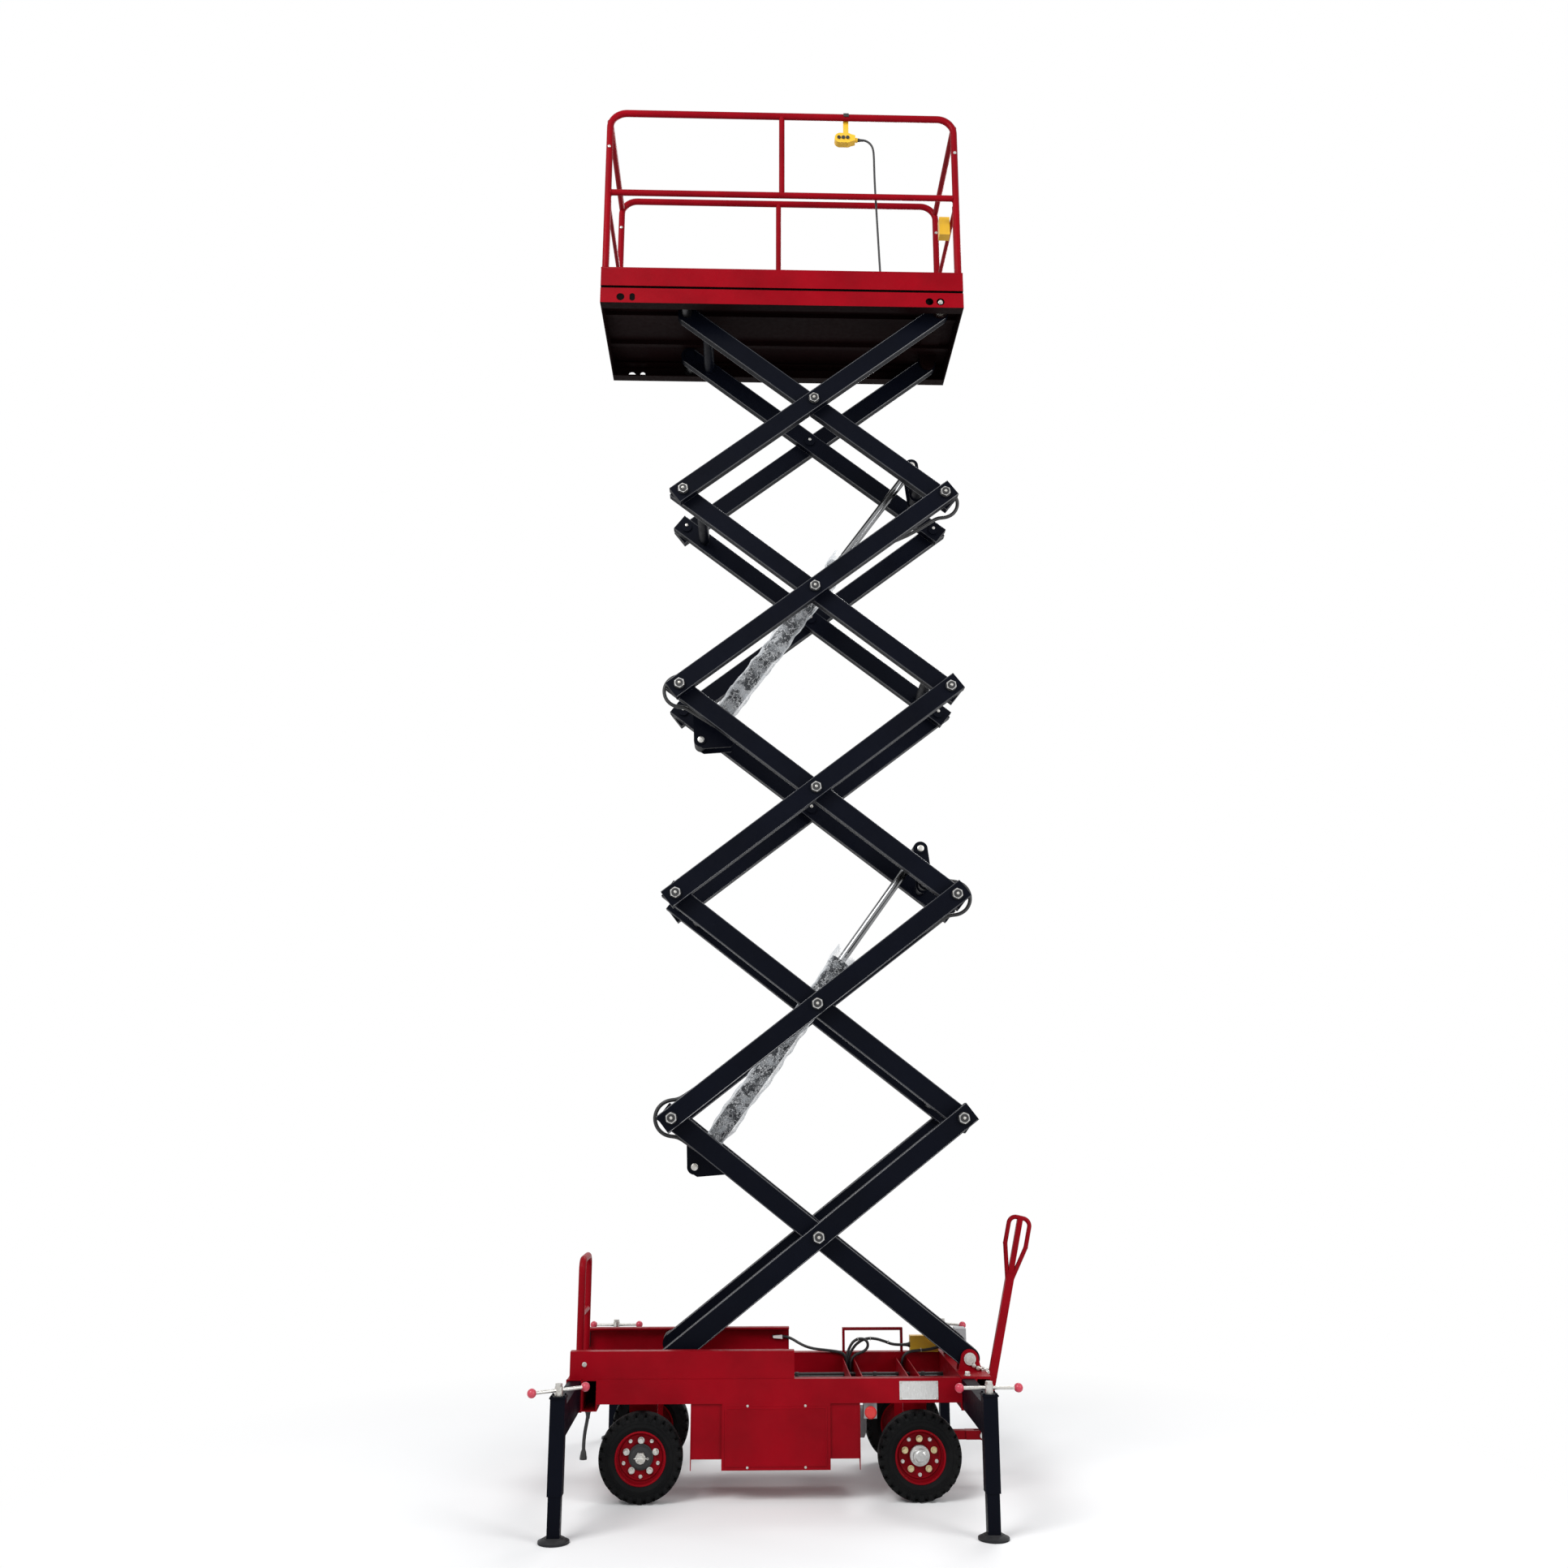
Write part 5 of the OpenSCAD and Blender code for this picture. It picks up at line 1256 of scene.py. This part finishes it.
def make_arm_edges():
    """The rounded corners of the arms, which catch the light."""
    for i in range(1, STAGES + 1):
        for name, rise, faces, low_end, high_end in (
                ("outer_arms", 1, (250, 300), 1, STAGES), ("inner_frame", -1, (194, 244), STAGES, 1)):
            low = 0 if i == low_end else -ARM_OVERHANG
            high = ARM_LENGTH if i == high_end else ARM_LENGTH + ARM_OVERHANG
            rods = []
            for s in SIDES.values():
                for y in (s * (faces[0] + EDGE_INSET), s * (faces[1] - EDGE_INSET)):
                    for up in (ARM_HALF - EDGE_INSET, EDGE_INSET - ARM_HALF):
                        start, end = arm_spot(i, rise, low, y, up), arm_spot(i, rise, high, y, up)
                        rods.append(soften(drum("arm_edge", start, end, 0.0029, 12), 0.0008, 1))
            # The rods' navy is lighter than the arms' as a painted highlight, and the pale scuffs are edge
            # wear
            fit(joined("%s_edges_%d" % (name, i), rods), "%s_%d" % (name, i), NAVY_EDGE_HIGHLIGHT)


make_welds()
make_pivot_bolts()
make_cylinder_heads()
make_arm_edges()


# Outriggers
SOCKET_LOW, SOCKET_HIGH = 386, 527
SOCKET_HALF = 37
SOCKET_LIP_Y = (396, 401.5)


def make_leg_cap(k, middle):
    """The plate on top of a leg, with a bolt at each corner."""
    corner = middle + Vector((-0.033, -0.033, 0.5558))
    plate = block("leg_cap", corner, middle + Vector((0.033, 0.033, 0.5585)))
    pick(plate, facing(UP))
    bpy.ops.mesh.inset(thickness=0.003)
    done()
    parts = [soften(plate, 0.001)]
    for x in (-0.026, 0.026):
        for y in (-0.026, 0.026):
            parts.append(hex_bolt("cap_bolt", middle + Vector((x, y, 0.5584)), UP, 0.008, 0.005))
    fit(joined("leg_cap_%d" % k, parts), "outrigger_beam_%d" % k, NAVY)


def make_foot_rim(k, middle):
    """The raised rim of a foot."""
    rim = drum("foot_rim", middle + UP * 0.0078, middle + UP * 0.018, 0.062, 48, 0.046)
    stepped(rim, UP, [(0.006, UP * 0.004)], 0.002)
    fit(joined("foot_rim_%d" % k, [rim]), "outrigger_foot_%d" % k, DARK)


def make_socket_lip(k, x, s):
    """The lip round the mouth of the socket that a beam slides in."""
    left, right = x - SOCKET_HALF, x + SOCKET_HALF
    lips = []
    for x0, x1, z0, z1 in ((left, right, SOCKET_LOW, 393), (left, right, 521.5, SOCKET_HIGH),
            (left, left + 6, SOCKET_LOW, SOCKET_HIGH), (right - 6, right, SOCKET_LOW, SOCKET_HIGH)):
        lip = block("socket_lip", at(x0, s * SOCKET_LIP_Y[0], z0), at(x1, s * SOCKET_LIP_Y[1], z1))
        lips.append(soften(lip, 0.0012))
    fit(joined("socket_lip_%d" % k, lips), "chassis", RED)


for k, (x, s) in enumerate(LEGS, 1):
    make_leg_cap(k, at(x, s * LEG_Y, 0))
    make_foot_rim(k, at(x, s * LEG_Y, 0))
    make_socket_lip(k, x, s)
    if x > 0:
        lock = hex_bolt("socket_lock", at(x, s * 372, 531.0), UP, 0.022, 0.016)
        fasten("socket_lock_%d" % k, [lock], "chassis")


# Platform
def make_toe_lips():
    """The folded top edges of the toe boards."""
    low_z, high_z = DECK_TOP + 101, DECK_TOP + 110
    lips = []
    for s in SIDES.values():
        lips.append(block("toe_lip", at(-1006, s * 409.5, low_z), at(1006, s * 416.0, high_z)))
    for s in SIDES.values():
        lips.append(block("toe_lip", at(s * 999.5, -410, low_z), at(s * 1006.0, 410, high_z)))
    for lip in lips:
        soften(lip, 0.0022)
    fit(joined("toe_lips", lips), "platform", RED)


def make_post_fittings():
    """Welds and bolts of the four posts, and a bolt through the skirt."""
    beads = []
    bolts = []
    for x in (-POST_X, POST_X):
        rail_x = x - math.copysign(18, x)
        for s in SIDES.values():
            beads.append(weld_bead("post_weld", at(x, s * POST_Y, DECK_TOP + 1.5), UP, 0.0195))
            beads.append(weld_bead("rail_weld", at(rail_x, s * POST_Y, DECK_TOP + 602), RIGHT, 0.0172))
            bolts.append(round_head("post_bolt", at(x, s * 409.6, RAIL_TOP - 235), AWAY * s, 0.009, 0.007))
        bolts.append(round_head("post_bolt", at(x, 372.4, RAIL_TOP - 200), NEAR, 0.009, 0.007))
    fit(joined("rail_welds", beads), "platform", RED, smooth=60)
    bolts.append(hex_bolt("skirt_bolt", at(876, -409, TOP_Z - 10), NEAR, 0.018, 0.010))
    fasten("post_bolts", bolts, "platform")


def make_gate_chain():
    """The chain that hangs from the gate's latch post."""
    hang = at(-POST_X, -352, DECK_TOP + 505)
    row = hanging_row(at(-POST_X, -372, DECK_TOP + 540), hang, 0.02, 4)
    row += [hang - UP * (0.013 * k) for k in range(1, 12)]
    chain("gate_chain", row, "platform", 0.002, 0.009)


LOZENGE_PITCH = 0.0385
LOZENGE_ROWS = (49, 18)


def make_lozenges():
    """The raised lozenges of the deck plate, in two sets that cross."""
    sets = []
    for turn, shift in ((45, 0.0), (-45, LOZENGE_PITCH / 2)):
        deselect()
        low = at(-933.6, -314.4, TREAD_TOP) + Vector((shift, shift, 0))
        bpy.ops.mesh.primitive_cylinder_add(vertices=4, radius=1, depth=1, location=low + UP * 0.0005)
        bar = bpy.context.object
        bar.scale = (0.0125, 0.0042, 0.0026)
        settle_place(bar, "deck_lozenge")
        pick(bar, facing(UP))
        resize((0.78, 0.5, 1), low)
        done()
        bpy.ops.transform.rotate(value=math.radians(turn), orient_axis="Z", center_override=low)
        settle_place(bar, "deck_lozenge")
        for way, count in zip((RIGHT, AWAY), LOZENGE_ROWS):
            row = bar.modifiers.new("row", "ARRAY")
            row.use_relative_offset = False
            row.use_constant_offset = True
            row.constant_offset_displace = way * LOZENGE_PITCH
            row.count = count
        sets.append(apply_modifiers(bar))
    fit(joined("deck_lozenges", sets), "platform", LOZENGE, smooth=20)


make_toe_lips()
make_post_fittings()
make_gate_chain()
make_lozenges()


# Pipes in the base, black as painted shade between the beams
PIPE_Y = 200
PIPE_END = 821.8


def make_oil_pipes_as_painted_shade():
    """Two hard oil pipes through the cross members, with a nut at the end tube and clamps on the way; all
    black, as painted shade in the gap between the beams.
    """
    parts = []
    for z in (430, 446):
        pipe = drum("oil_pipe", at(CABINET_LEFT, PIPE_Y, z), at(PIPE_END, PIPE_Y, z), 0.0078, 20)
        nut = drum("pipe_nut", at(800, PIPE_Y, z), at(PIPE_END, PIPE_Y, z), 0.0079, 6)
        parts += [soften(pipe, 0.0012), soften(nut, 0.0008)]
    for x in (-190, 90, 480, 720):
        clamp = block("pipe_clamp", at(x - 9, PIPE_Y - 10.5, 420.5), at(x + 9, PIPE_Y + 10.5, 455.5))
        parts.append(soften(clamp, 0.003))
    # Painted shade: such pipes do run in the base, and their black darkens the gap between the beams as shade
    # would
    fit(joined("oil_pipes_painted_shade", parts), "chassis", BLACK)


make_oil_pipes_as_painted_shade()


# Floor and light
def seen_directly(tree):
    """1 for what the camera, a mirror or a clear piece sees."""
    path = node(tree, "LightPath")
    clear = most(tree, path.outputs["Is Glossy Ray"], path.outputs["Is Transmission Ray"])
    return most(tree, path.outputs["Is Camera Ray"], clear)


def make_stage():
    deselect()
    bpy.ops.mesh.primitive_plane_add(size=1, location=(0, 0, -0.0005))
    floor = bpy.context.object
    floor.scale = (80, 80, 1)
    settle_place(floor, "studio_floor")
    edit_all()
    bpy.ops.mesh.subdivide(number_cuts=3)
    done()
    material, tree, shader = fresh("studio_paper")
    place = object_place(tree)
    tone = mix_colour(tree, noise(tree, place, 0.35, 2.0), (0.80, 0.80, 0.80, 1), (0.84, 0.84, 0.84, 1))
    wire(tree, tone, shader.inputs["Base Color"])
    shader.inputs["Roughness"].default_value = 0.85
    glow = node(tree, "Emission")
    far = node(tree, "VectorMath", operation="LENGTH")
    wire(tree, place, far.inputs[0])
    fade = between(tree, far.outputs["Value"], 1.6, 3.6)
    blend = node(tree, "MixShader")
    wire(tree, times(tree, fade, seen_directly(tree)), blend.inputs[0])
    wire(tree, shader.outputs[0], blend.inputs[1])
    wire(tree, glow.outputs[0], blend.inputs[2])
    wire(tree, blend.outputs[0], tree.nodes["Material Output"].inputs["Surface"])
    floor.data.materials.append(material)


def soft_light(name, place, aim, size, power):
    lamp = bpy.data.lights.new(name, "AREA")
    lamp.shape = "RECTANGLE"
    lamp.size, lamp.size_y = size
    lamp.energy = power
    light = bpy.data.objects.new(name, lamp)
    bpy.context.scene.collection.objects.link(light)
    light.location = place
    light.rotation_euler = (Vector(aim) - Vector(place)).to_track_quat("-Z", "Y").to_euler()


def make_light():
    world = bpy.data.worlds.new("studio_air")
    world.use_nodes = True
    tree = world.node_tree
    air = tree.nodes["Background"]
    air.inputs["Color"].default_value = (0.95, 0.97, 1.0, 1)
    air.inputs["Strength"].default_value = 0.55
    white = node(tree, "Background")
    white.inputs["Color"].default_value = (1, 1, 1, 1)
    blend = node(tree, "MixShader")
    wire(tree, seen_directly(tree), blend.inputs[0])
    wire(tree, air.outputs[0], blend.inputs[1])
    wire(tree, white.outputs[0], blend.inputs[2])
    wire(tree, blend.outputs[0], tree.nodes["World Output"].inputs["Surface"])
    bpy.context.scene.world = world
    soft_light("key_panel", (-5.5, -7.0, 9.0), (0, 0, 3.4), (5, 5), 900)
    soft_light("fill_panel", (6.5, -6.0, 5.0), (0, 0, 3.0), (4, 6), 380)
    soft_light("back_panel", (3.0, 6.0, 9.5), (0, 0, 4.0), (5, 3), 420)


make_stage()
make_light()
bpy.context.scene.view_settings.view_transform = "Standard"
